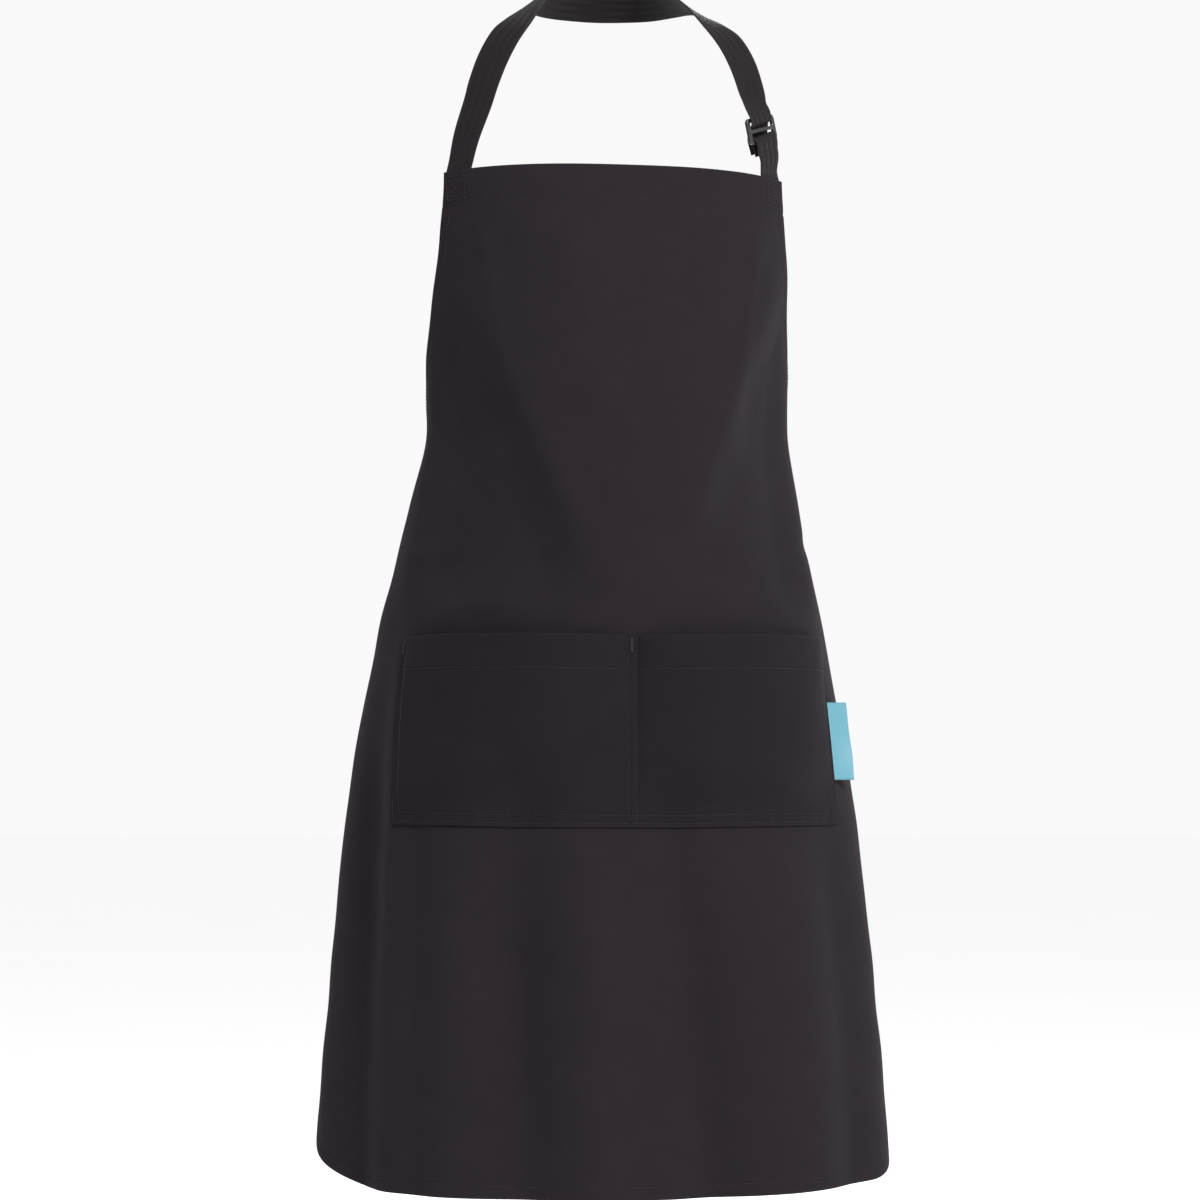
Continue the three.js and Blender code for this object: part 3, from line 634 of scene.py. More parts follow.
def plastic_material():
    N = Nodes("moulded_black")
    grain = N.noise(N.solid(1400), 1.0, 2.0)
    patch = N.noise(N.solid(140), 1.0, 4.0, 0.6)
    scratch = N.noise(N.solid(420), 1.0, 5.0, 0.75)
    c = N.mix(N.ramp(scratch, 0.56, 0.72, 0, 0.5), (0.0055, 0.0055, 0.0062, 1), (0.020, 0.020, 0.021, 1))
    N.link(c, N.b.inputs["Base Color"])
    N.link(N.math("ADD", N.ramp(patch, 0.35, 0.7, 0.17, 0.32), N.math("MULTIPLY", scratch, 0.08)), N.b.inputs["Roughness"])
    N.link(N.bump(grain, 0.00003, 0.35), N.b.inputs["Normal"])
    N.set(Specular_IOR_Level=0.55, Coat_Weight=0.15, Coat_Roughness=0.12)
    return N.mat


def satin_material():
    N = Nodes("label_satin")
    u, v = N.split(N.uv())
    rib = N.math("ADD", N.math("MULTIPLY", N.math("SINE", N.math("MULTIPLY", v, 2 * math.pi / 0.00042)), 0.5), 0.5)
    float_ = N.noise(N.uv(3000, 260), 1.0, 2.0)
    patch = N.noise(N.uv(60, 60), 1.0, 3.0)
    c = N.mix(N.ramp(float_, 0.3, 0.7, 0, 1), (0.040, 0.152, 0.198, 1), (0.056, 0.184, 0.232, 1))
    c = N.mix(N.math("MULTIPLY", rib, 0.10), c, (0.030, 0.122, 0.166, 1))
    c = N.mix(N.math("MULTIPLY", N.ramp(patch, 0.4, 0.7, 0, 1), 0.12), c, (0.070, 0.205, 0.250, 1))
    c = N.mix(N.math("MULTIPLY", N.wear(), 0.15), c, (0.090, 0.235, 0.275, 1))
    N.link(c, N.b.inputs["Base Color"])
    N.link(N.ramp(float_, 0.3, 0.7, 0.38, 0.52), N.b.inputs["Roughness"])
    n1 = N.bump(rib, 0.00008, 0.5)
    N.link(N.bump(float_, 0.00006, 0.4, n1), N.b.inputs["Normal"])
    N.set(Sheen_Weight=0.2, Sheen_Roughness=0.3, Specular_IOR_Level=0.45)
    return N.mat


def stage_material():
    N = Nodes("studio_floor")
    g = N.noise(N.solid(1.2), 1.0, 3.0)
    N.link(N.mix(N.ramp(g, 0.3, 0.7, 0, 1), (0.980, 0.980, 0.982, 1), (0.990, 0.990, 0.991, 1)), N.b.inputs["Base Color"])
    N.set(Roughness=1.0, Specular_IOR_Level=0.0)
    return N.mat


CANVAS_TINT = (0.0090, 0.0069, 0.0088)
M_CANVAS = canvas_material("canvas_charcoal", CANVAS_TINT)
# The pocket is the same canvas painted 24% darker: painted shade for the shade in and under the filled pockets.
M_POCKET_PAINTED_SHADE = canvas_material("canvas_pocket", CANVAS_TINT, 0.76)
M_WEB = webbing_material("neck_webbing", (0.0082, 0.0066, 0.0080), 0.00105, 0.0031, (0.6, 0.75), 0.02)
M_TAPE = webbing_material("waist_tape", (0.0092, 0.0074, 0.0089), 0.00085, 0.0042, (0.72, 0.86), 0.03)
M_THREAD, M_PLASTIC, M_SATIN = thread_material(), plastic_material(), satin_material()

# ---- the panel, with its turned edges ----------------------------------------------------------------------------------------
inset = np.array([0, 0.10, 0.28, 0.55, 0.95, 1.8, 3.2, 4.8, 6.4, 7.6, 8.6, 9.1, 9.5, 9.9, 10.4, 11.4, 12.4, 12.72, 13.28, 13.7, 14.8])
inner_cols = 205
core = np.linspace(-1, 1, inner_cols)[1:-1]
t_top = np.array([0, 0.10, 0.28, 0.55, 0.95, 1.8, 3.5, 6, 8.5, 11, 13.5, 16, 18.5, 21, 23.4, 25.2, 26.6, 27.5, 28.0, 28.5, 29.4, 30.6, 31.5, 31.72, 32.28, 32.7, 33.8])
t_mid = np.arange(36.6, 774.4, 3.0)
t_low = LENGTH - inset[::-1]
t_rows = np.concatenate([t_top, t_mid, t_low])


def place(t, s):
    return t - corner_lift(s) * np.clip((t - 610) / (LENGTH - BOTTOM_HEM - 610), 0, 1)


Wt = half_width(t_rows)
S = np.concatenate([-(Wt[:, None] - inset[None]), core[None] * (Wt[:, None] - inset[-1]), (Wt[:, None] - inset[None])[:, ::-1]], 1)
Q = place(t_rows[:, None], S)
E = edge_of(S, Q)
E[[0, -1], :] = 0
E[:, [0, -1]] = 0
H = hem_mask(S, Q)
drop_e = rim_drop(E, LAYERS)
ease = bite(S, Q)
outer = -drop_e + ease
inner = np.where(E < LAYERS / 2, -LAYERS + drop_e, -(CLOTH + (LAYERS - CLOTH) * H)) + ease
outer[[0, -1], :] = -LAYERS / 2 + ease[[0, -1], :]
outer[:, [0, -1]] = -LAYERS / 2 + ease[:, [0, -1]]
inner[[0, -1], :], inner[:, [0, -1]] = outer[[0, -1], :], outer[:, [0, -1]]
wear = 0.9 * np.exp(-(E / 1.6) ** 2) + 0.35 * np.exp(-((E - 9.5) / 1.4) ** 2) * (Q > 31) + 0.3 * np.exp(-((Q - 28) / 1.4) ** 2)
panel = shell("canvas_panel", S, Q, outer, inner, surf, M_CANVAS, wear)

# ---- the pocket patch ------------------------------------------------------------------------------------------------------------
PIN = np.array([0, 0.10, 0.28, 0.55, 0.95, 1.7, 2.4, 2.9, 3.3, 3.9, 5.0, 6.6, 8.2, 8.9, 9.5, 10.4])


def pocket_off(s, t):
    """The patch lies on the panel along its seams and stands away between them, fuller in front of the hands' room."""
    e = np.clip((np.abs(s) - 5.0) / (POCKET_HALF - 10.0), 0, 1)
    stand = np.maximum(0, 1 - (2 * e - 1) ** 2) ** 0.8
    v = np.clip((t - POCKET_TOP) / (POCKET_FOOT - POCKET_TOP), 0, 1)
    vf = np.clip((POCKET_FOOT - 6 - t) / (POCKET_FOOT - 6 - POCKET_TOP), 0, 1)
    easy = vf ** 0.85
    # one slanting crease on one side, and a low roll on the other
    line_l = 0.90 - 0.42 * (1 - e) ** 1.2
    full_l = (1 - 0.25 * v) * (1 - smooth(v, line_l - 0.10, line_l + 0.09)) + 0.22 * smooth(v, line_l - 0.10, line_l + 0.09) * vf ** 0.7
    line_r = 0.93 - 0.10 * e
    full_r = (1 - 0.22 * v) * (1 - smooth(v, line_r - 0.20, line_r + 0.03)) + 0.10 * vf
    full = np.where(s < 0, full_l, full_r)
    blend_in = 0.72
    shape = easy * (1 - blend_in) + full * np.minimum(1, vf * 9) * blend_in
    seam = 0.42 * np.exp(-(((np.abs(s) - 3.0) / 1.3) ** 2)) + 0.42 * np.exp(-(((POCKET_HALF - np.abs(s) - 3.1) / 1.3) ** 2)) + 0.42 * np.exp(-(((POCKET_FOOT - t - 3.1) / 1.3) ** 2))
    seam = seam + 0.2 * np.exp(-(((POCKET_HALF - np.abs(s) - 9.2) / 1.3) ** 2)) + 0.2 * np.exp(-(((POCKET_FOOT - t - 9.2) / 1.3) ** 2)) * (np.abs(s) < POCKET_HALF - 6)
    seam = seam + 0.22 * np.exp(-(((t - POCKET_TOP - 26.0) / 1.4) ** 2))
    hill = 0.9 * cockle(s, t, 46, 5, 10) * np.minimum(1, 2.2 * stand * vf) + 0.25 * np.sin(s / 2.4 + np.sin(t / 9)) * np.exp(-(((POCKET_FOOT - t - 5) / 6) ** 2))
    wrinkle = 1.5 * bump(v - (0.62 + 0.25 * e), 0, 0.05) * smooth(e, 0.08, 0.3) * (1 - smooth(e, 0.6, 0.95)) * (s > 0)
    return 2.15 + 17.0 * stand * shape + hill + wrinkle * stand - seam


p_rows = np.concatenate([POCKET_TOP + PIN[:6], np.arange(372.6, 393.5, 2.0), [394.2, 395.0, 395.6, 396.0, 396.4, 397.0, 398.0, 399.2, 399.72, 400.28, 400.9, 402.2],
                         np.arange(404.4, 503.6, 1.9), POCKET_FOOT - PIN[::-1]])
half_cols = np.concatenate([np.arange(0, 9.6, 0.8), np.arange(11.0, 180.8, 2.1), POCKET_HALF - PIN[::-1]])
p_cols = np.concatenate([-half_cols[:0:-1], half_cols])
PS, PT = np.meshgrid(p_cols, p_rows)
PE = np.minimum(np.minimum(POCKET_HALF - np.abs(PS), POCKET_FOOT - PT), PT - POCKET_TOP)
mouth = 1 - smooth(PT, POCKET_TOP + MOUTH_HEM - 0.3, POCKET_TOP + MOUTH_HEM + 0.3)
turned = np.maximum(mouth, 1 - smooth(np.minimum(POCKET_HALF - np.abs(PS), POCKET_FOOT - PT), 9.2, 9.8))
po = pocket_off(PS, PT)
pd = rim_drop(PE, LAYERS)
p_outer = po - pd
p_inner = np.where(PE < LAYERS / 2, po - LAYERS + pd, po - (CLOTH + (LAYERS - CLOTH) * turned))
for a in (p_outer, p_inner):
    for k in (0, -1):
        a[k, :] = po[k, :] - LAYERS / 2
        a[:, k] = po[:, k] - LAYERS / 2
p_wear = 0.9 * np.exp(-(PE / 1.5) ** 2) + 0.3 * np.exp(-((PT - POCKET_TOP - 26) / 1.4) ** 2) + 0.3 * np.exp(-((np.abs(PS) - 3) / 1.4) ** 2) + 0.3 * np.exp(-((np.minimum(POCKET_HALF - np.abs(PS), POCKET_FOOT - PT) - 3.1) / 1.2) ** 2)
pocket = shell("canvas_pocket", PS, PT, p_outer, p_inner, surf, M_POCKET_PAINTED_SHADE, p_wear)

# ---- rows of stitching -----------------------------------------------------------------------------------------------------------
front, back = [], []


def both(s, q, out_off, in_off):
    p, n = on_face(s, q, out_off)
    front.append((p, n))
    p, n = on_face(s, q, in_off)
    back.append((p, -n))


def row_both(s, q):
    both(s, q, bite(s, q), -LAYERS + bite(s, q))


k = np.linspace(-1, 1, 260)
s_line = k * (BIB_HALF + 6)
s_line = np.clip(s_line, -half_width(28.0) + 3, half_width(28.0) - 3)
row_both(np.linspace(-half_width(28.0) + 2.5, half_width(28.0) - 2.5, 300), 28.0)
for sgn in (-1, 1):
    q_up = np.arange(34.0, 262.0, 1.5)
    row_both(sgn * (half_width(q_up) - HEM_LINE["side"] * np.sqrt(1 + np.gradient(half_width(q_up), q_up) ** 2)), q_up)
turn_ = unit(np.gradient(ROUND, axis=0))
off_round = ROUND + np.stack([-np.abs(turn_[:, 1]), -np.abs(turn_[:, 0])], 1) * HEM_LINE["side"]
off_round = off_round[off_round[:, 0] < HALF - HEM_LINE["side"] + 0.01][::-1]
side_q = np.arange(277.0, off_round[0, 1] - 2, 4.0)
run_q = np.concatenate([side_q, off_round[:, 1]])
run_s = np.concatenate([np.full(len(side_q), HALF - HEM_LINE["side"]), off_round[:, 0]])
fl = np.linspace(-off_round[-1, 0], off_round[-1, 0], 260)[1:-1]
hem_s = np.concatenate([-run_s, fl, run_s[::-1]])
hem_q = np.concatenate([run_q, np.full(len(fl), LENGTH - HEM_LINE["side"]), run_q[::-1]])
row_both(hem_s, hem_q)


def pocket_row(s, t):
    s, t = np.broadcast_arrays(np.asarray(s, float), np.asarray(t, float))
    p, n = on_face(s, t, pocket_off(s, t))
    pocket_front.append((p, n))
    if through_panel[0]:
        p, n = on_face(s, t, -CLOTH)
        back.append((p, -n))


pocket_front, through_panel = [], [True]
for d in (3.1, 9.2):
    a = POCKET_HALF - d
    down = np.linspace(POCKET_TOP + 2, POCKET_FOOT - d, 90)
    over = np.linspace(-a, a, 240)
    pocket_row(np.concatenate([np.full(90, -a), over[1:-1], np.full(90, a)]), np.concatenate([down, np.full(238, POCKET_FOOT - d), down[::-1]]))
for d in (-3.0, 3.0):
    pocket_row(np.full(120, d), np.linspace(POCKET_TOP + 2, POCKET_FOOT - 3, 120))
through_panel[0] = False
for lo, hi in ((-POCKET_HALF + 4, -4.5), (4.5, POCKET_HALF - 4)):
    pocket_row(np.linspace(lo, hi, 200), np.full(200, POCKET_TOP + 26.0))

sew_front = stitches("topstitching_front", front, M_THREAD)
sew_back = stitches("topstitching_back", back, M_THREAD)
sew_pocket = stitches("topstitching_pocket", pocket_front, M_THREAD)


def box_rows(s0, s1, q0, q1):
    c = lambda a, b: (np.linspace(a[0], b[0], 24), np.linspace(a[1], b[1], 24))
    p = [(s0, q0), (s1, q0), (s1, q1), (s0, q1)]
    return [c(p[0], p[1]), c(p[1], p[2]), c(p[2], p[3]), c(p[3], p[0]), c(p[0], p[2]), c(p[1], p[3])]


def box_stitch(name, s0, s1, q0, q1, back_off, node):
    rows = []
    for s, q in box_rows(s0, s1, q0, q1):
        p, n = on_face(s, q, bite(s, q))
        rows.append((p, n))
        p, n = on_face(s, q, back_off + bite(s, q) * 0.5)
        rows.append((p, -n))
    o = stitches(name, rows, M_THREAD, pitch=2.6, r=0.3)
    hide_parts(node)
    return o


SEWN_S = 135.0 / BIB_HALF
boxes = []
for name, sgn in (("neck", -1), ("short", 1)):
    c = sgn * SEWN_S * half_width(16.0)
    boxes.append(box_stitch("box_" + name, c - 9.2, c + 9.2, 5.0, 24.5, -LAYERS - STRAP_T - 0.12, "box_stitch_" + name))
for name, sgn in (("left", -1), ("right", 1)):
    boxes.append(box_stitch("box_tie_" + name, sgn * 328.8 - 9.5, sgn * 328.8 + 9.5, 268.2, 286.0, -LAYERS - 1.7 - TIE_T, "box_stitch_tie_" + name))


def bartack(name, s, node):
    rows = []
    for j in range(15):
        t = POCKET_TOP + 2.2 + 0.72 * j
        ss = np.linspace(s - 1.7, s + 1.7, 6)
        tt = np.linspace(t, t + 0.3, 6)
        p, n = on_face(ss, tt, pocket_off(ss, tt) + 0.1)
        rows.append((p, n))
    for d in (-0.9, 0.0, 0.9):
        tt = np.linspace(POCKET_TOP + 2.0, POCKET_TOP + 12.6, 10)
        ss = np.full(10, s + d)
        p, n = on_face(ss, tt, pocket_off(ss, tt) - 0.05)
        rows.append((p, n))
    o = stitches(name, rows, M_THREAD, pitch=3.4, r=0.33, lift=0.22)
    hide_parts(node)
    return o


tacks = [bartack("tack_left", -POCKET_HALF + 3.4, "bartack_pocket_left"), bartack("tack_middle", 0.0, "bartack_pocket_middle"), bartack("tack_right", POCKET_HALF - 3.4, "bartack_pocket_right")]

# ---- neck loop --------------------------------------------------------------------------------------------------------------------
NECK = np.array([
    [122.3, -46, 4, 0.73, -0.68, 0.05], [118, -51.5, 25, 0.62, -0.77, 0.1], [110, -57.5, 50, 0.48, -0.86, 0.15], [105.5, -60, 66, 0.38, -0.9, 0.2],
    [98.5, -61.5, 85, 0.3, -0.92, 0.28], [89, -59.5, 103, 0.28, -0.85, 0.45], [78, -52.5, 117, 0.36, -0.66, 0.66], [68, -39.5, 130, 0.48, -0.4, 0.8],
    [61, -21, 140.5, 0.56, -0.15, 0.82], [58, 2, 147.5, 0.6, 0.05, 0.8], [52, 27, 152.5, 0.6, 0.3, 0.74], [38, 50, 156, 0.46, 0.65, 0.6], [20, 63, 158, 0.24, 0.8, 0.55], [0, 67.5, 158.6, 0, 0.85, 0.5]])
SL_c = np.array([114.4, -54.4, 36.5])
SL_t = unit(np.array([-0.31, -0.24, 0.92]))
SL_n = np.array([0.56, -0.82, 0.12])
SL_n = unit(SL_n - SL_n.dot(SL_t) * SL_t)
SL_w = -np.cross(SL_n, SL_t)


def at(h, n, w=0.0):
    return SL_c + SL_t * h + SL_n * n + SL_w * w


def sewn(sgn, depth_off, ts):
    s = sgn * SEWN_S * half_width(np.asarray(ts, float))
    p = surf(s, np.asarray(ts, float), depth_off)
    a = unit(surf(s + 2, np.asarray(ts, float), depth_off) - surf(s - 2, np.asarray(ts, float), depth_off))
    return p, a * 1.0


flip = np.array([-1, 1, 1.0])
mid_l, face_l = NECK[:, :3] * flip, NECK[:, 3:] * flip
mid_r, face_r = NECK[3:, :3][::-1][1:], NECK[3:, 3:][::-1][1:]
tail_in = np.array([at(20, 1.0), at(13, 2.7), at(9.3, 3.0), at(6.6, 2.75), at(4.5, 0.6), at(2.9, -2.2), at(-0.6, -3.4)])
line = np.concatenate([mid_l, mid_r, tail_in])
faces_n = np.concatenate([face_l, face_r, np.tile(SL_n, (len(tail_in), 1))])
ways = unit(np.array([line[min(k + 1, len(line) - 1)] - line[max(k - 1, 0)] for k in range(len(line))]))
sides = unit(np.cross(faces_n, ways))
sides[len(mid_l) + len(mid_r):] = -SL_w
for k in range(1, len(sides)):
    if sides[k].dot(sides[k - 1]) < 0:
        sides[k] *= -1
end_p, end_a = sewn(-1, -LAYERS - STRAP_T / 2 - 0.1, [28.5, 20.0, 11.0, 3.0])
if end_a[-1].dot(sides[0]) < 0:
    end_a = -end_a
line = np.concatenate([end_p, line])
sides = np.concatenate([end_a, sides])
fine, fine_side = catmull(line, 14), catmull(sides, 14)
strap = ribbon("webbing_neck", fine, fine_side, np.full(len(fine), STRAP_W), STRAP_T, M_WEB, cup=np.full(len(fine), 0.25), wave=0.25, seed=1.3)

foot = NECK[0, :3]
low_side = unit(np.cross(np.array([-0.2, -0.25, 0.95]), np.array([0.73, -0.68, 0.05])))
if low_side.dot(SL_w) < 0:
    low_side = -low_side
short = np.array([foot, at(-24, 0.6), at(-16, 1.6), at(-11.5, 2.7), at(-8, 2.75), at(-5.2, 1.2), at(-5.2, -1.2), at(-8, -2.75), at(-12, -2.7), at(-19, -2.0)])
s_side = np.array([low_side, low_side + SL_w] + [SL_w] * 8)
end_p, end_a = sewn(1, -LAYERS - STRAP_T / 2 - 0.1, [28.5, 20.0, 11.0, 3.0])
if end_a[-1].dot(low_side) < 0:
    end_a = -end_a
sl, ss_ = catmull(np.concatenate([end_p, short]), 16), catmull(np.concatenate([end_a, s_side]), 16)
short_strap = ribbon("webbing_short", sl, ss_, np.full(len(sl), STRAP_W), STRAP_T, M_WEB, cup=np.full(len(sl), 0.15), step=0.9)
tail_pts = np.array([at(-0.9, -3.6), at(-3.0, -4.9), at(-6.0, -5.7), at(-9, -5.8), at(-13, -5.8), at(-17, -5.8)])
tl = catmull(tail_pts, 10)
tail = ribbon("webbing_tail", tl, np.tile(SL_w, (len(tl), 1)), np.full(len(tl), STRAP_W), STRAP_T, M_WEB, step=0.8)


def rounded(w, h, r, n=7):
    out = []
    for cx, cy, a0 in ((w - r, h - r, 0), (-(w - r), h - r, 90), (-(w - r), -(h - r), 180), (w - r, -(h - r), 270)):
        for k in range(n):
            a = math.radians(a0 + 90 * k / (n - 1))
            out.append((cx + r * math.cos(a), cy + r * math.sin(a)))
    return out


LEAN = 6.0          # the slider hangs a little more level than the webbing that runs into it


def slider():
    """Moulded two-slot slider: round bars and softened corners."""
    cu = bpy.data.curves.new("slider_outline", "CURVE")
    cu.dimensions = "2D"
    cu.fill_mode = "BOTH"
    w, h, t = 33.0, 21.0, 3.0
    outline = [rounded(w / 2 - 0.75, h / 2 - 0.75, 3.2, 10)]
    for lo, hi in ((1.6, h / 2 - 3.5), (-h / 2 + 3.5, -1.6)):
        c = (lo + hi) / 2
        outline.append([(x, y + c) for x, y in rounded(w / 2 - 3.5 + 0.75, (hi - lo) / 2 + 0.75, 1.7, 6)])
    for loop in outline:
        sp = cu.splines.new("POLY")
        sp.points.add(len(loop) - 1)
        for k, (x, y) in enumerate(loop):
            sp.points[k].co = (x / 1000, y / 1000, 0, 1)
        sp.use_cyclic_u = True
    cu.bevel_depth = 0.00075
    cu.bevel_resolution = 4
    cu.extrude = (t / 2 - 0.75) / 1000
    tmp = bpy.data.objects.new("slider_tmp", cu)
    scene.collection.objects.link(tmp)
    bpy.context.view_layer.update()
    me = bpy.data.meshes.new_from_object(tmp.evaluated_get(bpy.context.evaluated_depsgraph_get()))
    bpy.data.objects.remove(tmp)
    import bmesh
    bm = bmesh.new()
    bm.from_mesh(me)
    bmesh.ops.remove_doubles(bm, verts=bm.verts, dist=1e-6)
    bmesh.ops.recalc_face_normals(bm, faces=bm.faces)
    bm.to_mesh(me)
    bm.free()
    co = np.array([v.co for v in me.vertices]) * 1000
    across, lean = np.cross(SL_t, SL_n), math.radians(LEAN)
    co = np.stack([co[:, 0] * math.cos(lean) + co[:, 1] * math.sin(lean), -co[:, 0] * math.sin(lean) + co[:, 1] * math.cos(lean), co[:, 2]], 1)
    world = SL_c + across * co[:, :1] + SL_t * co[:, 1:2] + SL_n * co[:, 2:3]
    me.vertices.foreach_set("co", put(world).astype(np.float32).ravel())
    for p in me.polygons:
        p.use_smooth = True
    me.materials.clear()
    me.materials.append(M_PLASTIC)
    me.update()
    o = bpy.data.objects.new("moulded_slider", me)
    scene.collection.objects.link(o)
    m = o.modifiers.new("edges", "WEIGHTED_NORMAL")
    m.keep_sharp = True
    return o


slide = slider()


def rib_bar():
    """A raised rounded bar along the middle bar, where it grips the webbing."""
    V, F = [], []
    lean = math.radians(LEAN)
    ring = np.linspace(0, 2 * np.pi, 15)[:-1]
    # one long rounded bar
    xs = np.array([-13.6, -13.3, -12.8, -12, -6, 0, 6, 12, 12.8, 13.3, 13.6])
    r = np.array([0.2, 0.7, 1.0, 1.15, 1.2, 1.2, 1.2, 1.15, 1.0, 0.7, 0.2])
    for k, x in enumerate(xs):
        for a in ring:
            along = math.cos(a) * r[k] * 1.05
            V.append(at(along * math.cos(lean) - x * math.sin(lean), 0.75 + math.sin(a) * r[k] * 0.95, x * math.cos(lean) + along * math.sin(lean)))
    for k in range(len(xs) - 1):
        for j in range(14):
            F.append([14 * k + j, 14 * k + (j + 1) % 14, 14 * (k + 1) + (j + 1) % 14, 14 * (k + 1) + j])
    F.append(list(range(14))[::-1])
    F.append([14 * (len(xs) - 1) + j for j in range(14)])
    return mesh("moulded_grip_bar", np.array(V).reshape(-1, 3), F, M_PLASTIC, np.zeros((14 * len(xs), 2)))


grip = rib_bar()

# ---- waist ties, knot and bow ----------------------------------------------------------------------------------------------------------
lo_k, hi_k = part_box("tie_knot")
kc = (np.array(lo_k) + np.array(hi_k)) / 2 * 1000 - NAPE
K = kc - np.array([0, 3.5, 0])
IN_TIE = -LAYERS - TIE_T / 2 - 0.9
pieces_tie, loops, ends = [], [], []
for name, sgn in (("left", -1), ("right", 1)):
    s_in = sgn * HALF * np.array([0.915, 0.945, 0.972, 0.995])
    inside = surf(s_in, np.full(4, 277.0), IN_TIE)
    lean = unit(surf(s_in, np.full(4, 265.5), 0) - surf(s_in, np.full(4, 288.5), 0))
    e = inside[-1]
    ex = abs(e[0])
    pts = np.concatenate([inside, np.array([[sgn * (ex - 9), e[1] + 3.2, e[2] - 0.4], [sgn * (ex - 22), e[1] + 8.2, e[2] - 1.5], [sgn * 52, K[1] - 6.5, K[2] + 2], [sgn * 30, K[1] - 4, K[2]], [sgn * 12.0, K[1] - 2.5, K[2]]])])
    sd = np.concatenate([lean, np.array([lean[-1] + [0, 0.1, 1], [0, 0.1, 1], [0, 0.1, 1], [0, 0.1, 1], [0, 0.1, 1]])])
    wd = np.array([24, 24, 24, 24, 25, 25, 25, 20, 11.0])[:, None]
    cup = np.array([0, 0, 0, 0, 0, 0.4, -0.8, -3.0, -4.0])[:, None]
    a, b, c, d = catmull(pts, 12), catmull(sd, 12), catmull(wd, 12), catmull(cup, 12)
    o = ribbon("tape_tie_" + name, a, b, c, TIE_T, M_TAPE, cup=d[:, 0], wave=0.5, seed=2.1 * sgn, cols=22)
    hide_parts("waist_tie_" + name)
    pieces_tie.append(o)
    wob = 1.0 if sgn < 0 else 0.94
    loop = np.array([[10.5, 4, 0, 10, 4.5], [17, 3.2, -0.5, 13, 4.2], [28, 1.9, -2, 20, 2.6], [40, 1.4, -4, 24.5, 1.0], [54, 2.6, -7, 25, 0.4], [70, 5.0, -11.5, 25, 0], [80, 9.0, -15.5, 25, 0.3], [84.5 * wob, 14, -17.5, 25, 0.4],
                     [80, 20, -17.5, 25, 0.3], [69, 23.2, -15, 25, 0], [55, 23.2, -12, 25, 0.5], [40, 20.5, -8.5, 24, -1.2], [28, 16, -5.5, 20, -2.8], [17, 12, -2.5, 14, -4.0], [10.5, 9.5, -1, 10, -4.2]])
    lp = np.stack([sgn * loop[:, 0], K[1] + loop[:, 1], K[2] + loop[:, 2] * (1.0 if sgn < 0 else 1.12)], 1)
    a = catmull(lp, 12)
    b = np.tile([sgn * 0.2, 0, 1.0], (len(a), 1)) + np.stack([np.zeros(len(a)), 0.22 * np.sin(np.linspace(0, 5, len(a)) + sgn), np.zeros(len(a))], 1)
    c, d = catmull(loop[:, 3:4], 12), catmull(loop[:, 4:5], 12)
    o = ribbon("tape_loop_" + name, a, b, c, TIE_T, M_TAPE, cup=d[:, 0] * sgn, cols=22, step=1.2)
    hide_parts("bow_loop_" + name)
    loops.append((o, "bow_loop_" + name))
    end = np.array([[5, -3, -9, 8, 3.2], [6.2, -3.2, -14, 10, 3.4], [7.5, -3.4, -20, 14, 2.6], [9.5, -3.4, -28, 19, 1.4], [12.5, -3.0, -40, 24.6, 0.5], [16, -2.4, -62, 25, 0.3], [18, -2.8, -92, 25, 0.2], [20.5, -3.6, -125, 25, -0.2], [22.5, -3.0, -160, 25, 0.2], [23.4, -2.8, -190, 25, 0.1], [24, -3, -212, 25, 0]])
    ep = np.stack([sgn * end[:, 0], K[1] + end[:, 1], K[2] + end[:, 2]], 1)
    a = catmull(ep, 12)
    b = np.stack([np.ones(len(a)), 0.12 * sgn + 0.10 * np.sin(np.linspace(0, 4.5, len(a)) + sgn), np.zeros(len(a))], 1)
    c, d = catmull(end[:, 3:4], 12), catmull(end[:, 4:5], 12)
    o = ribbon("tape_end_" + name, a, b, c, TIE_T, M_TAPE, cup=d[:, 0], cols=22, step=1.6)
    # the cut end is turned up twice and stitched
    hem_a = a[-1] - unit(a[-1] - a[-6]) * 6.0
    wy = unit(a[-1] - a[-6])
    ac = unit(b[-1] - b[-1].dot(wy) * wy)
    fc = np.cross(wy, ac)
    fold_pts = np.array([a[-1] - wy * x for x in (11.0, 7.5, 4.0, 0.4)]) + fc * (TIE_T * 0.86)
    turn = ribbon("tape_turn_" + name, catmull(fold_pts, 6), np.tile(ac, (19, 1)), np.full(19, 24.6), 0.9, M_TAPE, cols=22, step=0.8)
    rows = []
    for dd in (9.0,):
        for off, sg in ((TIE_T * 0.86 + 0.45, 1), (-TIE_T / 2, -1)):
            line_p = np.array([a[-1] - wy * dd + ac * x + fc * off for x in np.linspace(-11.2, 11.2, 20)])
            rows.append((line_p, np.tile(fc * sg, (20, 1))))
    turn_sew = stitches("tape_turn_sew_" + name, rows, M_THREAD, pitch=2.8)
    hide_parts("tie_end_" + name)
    ends.append((o, "tie_end_" + name))
    ends.append((turn, "tie_end_" + name))
    ends.append((turn_sew, "tie_end_" + name))


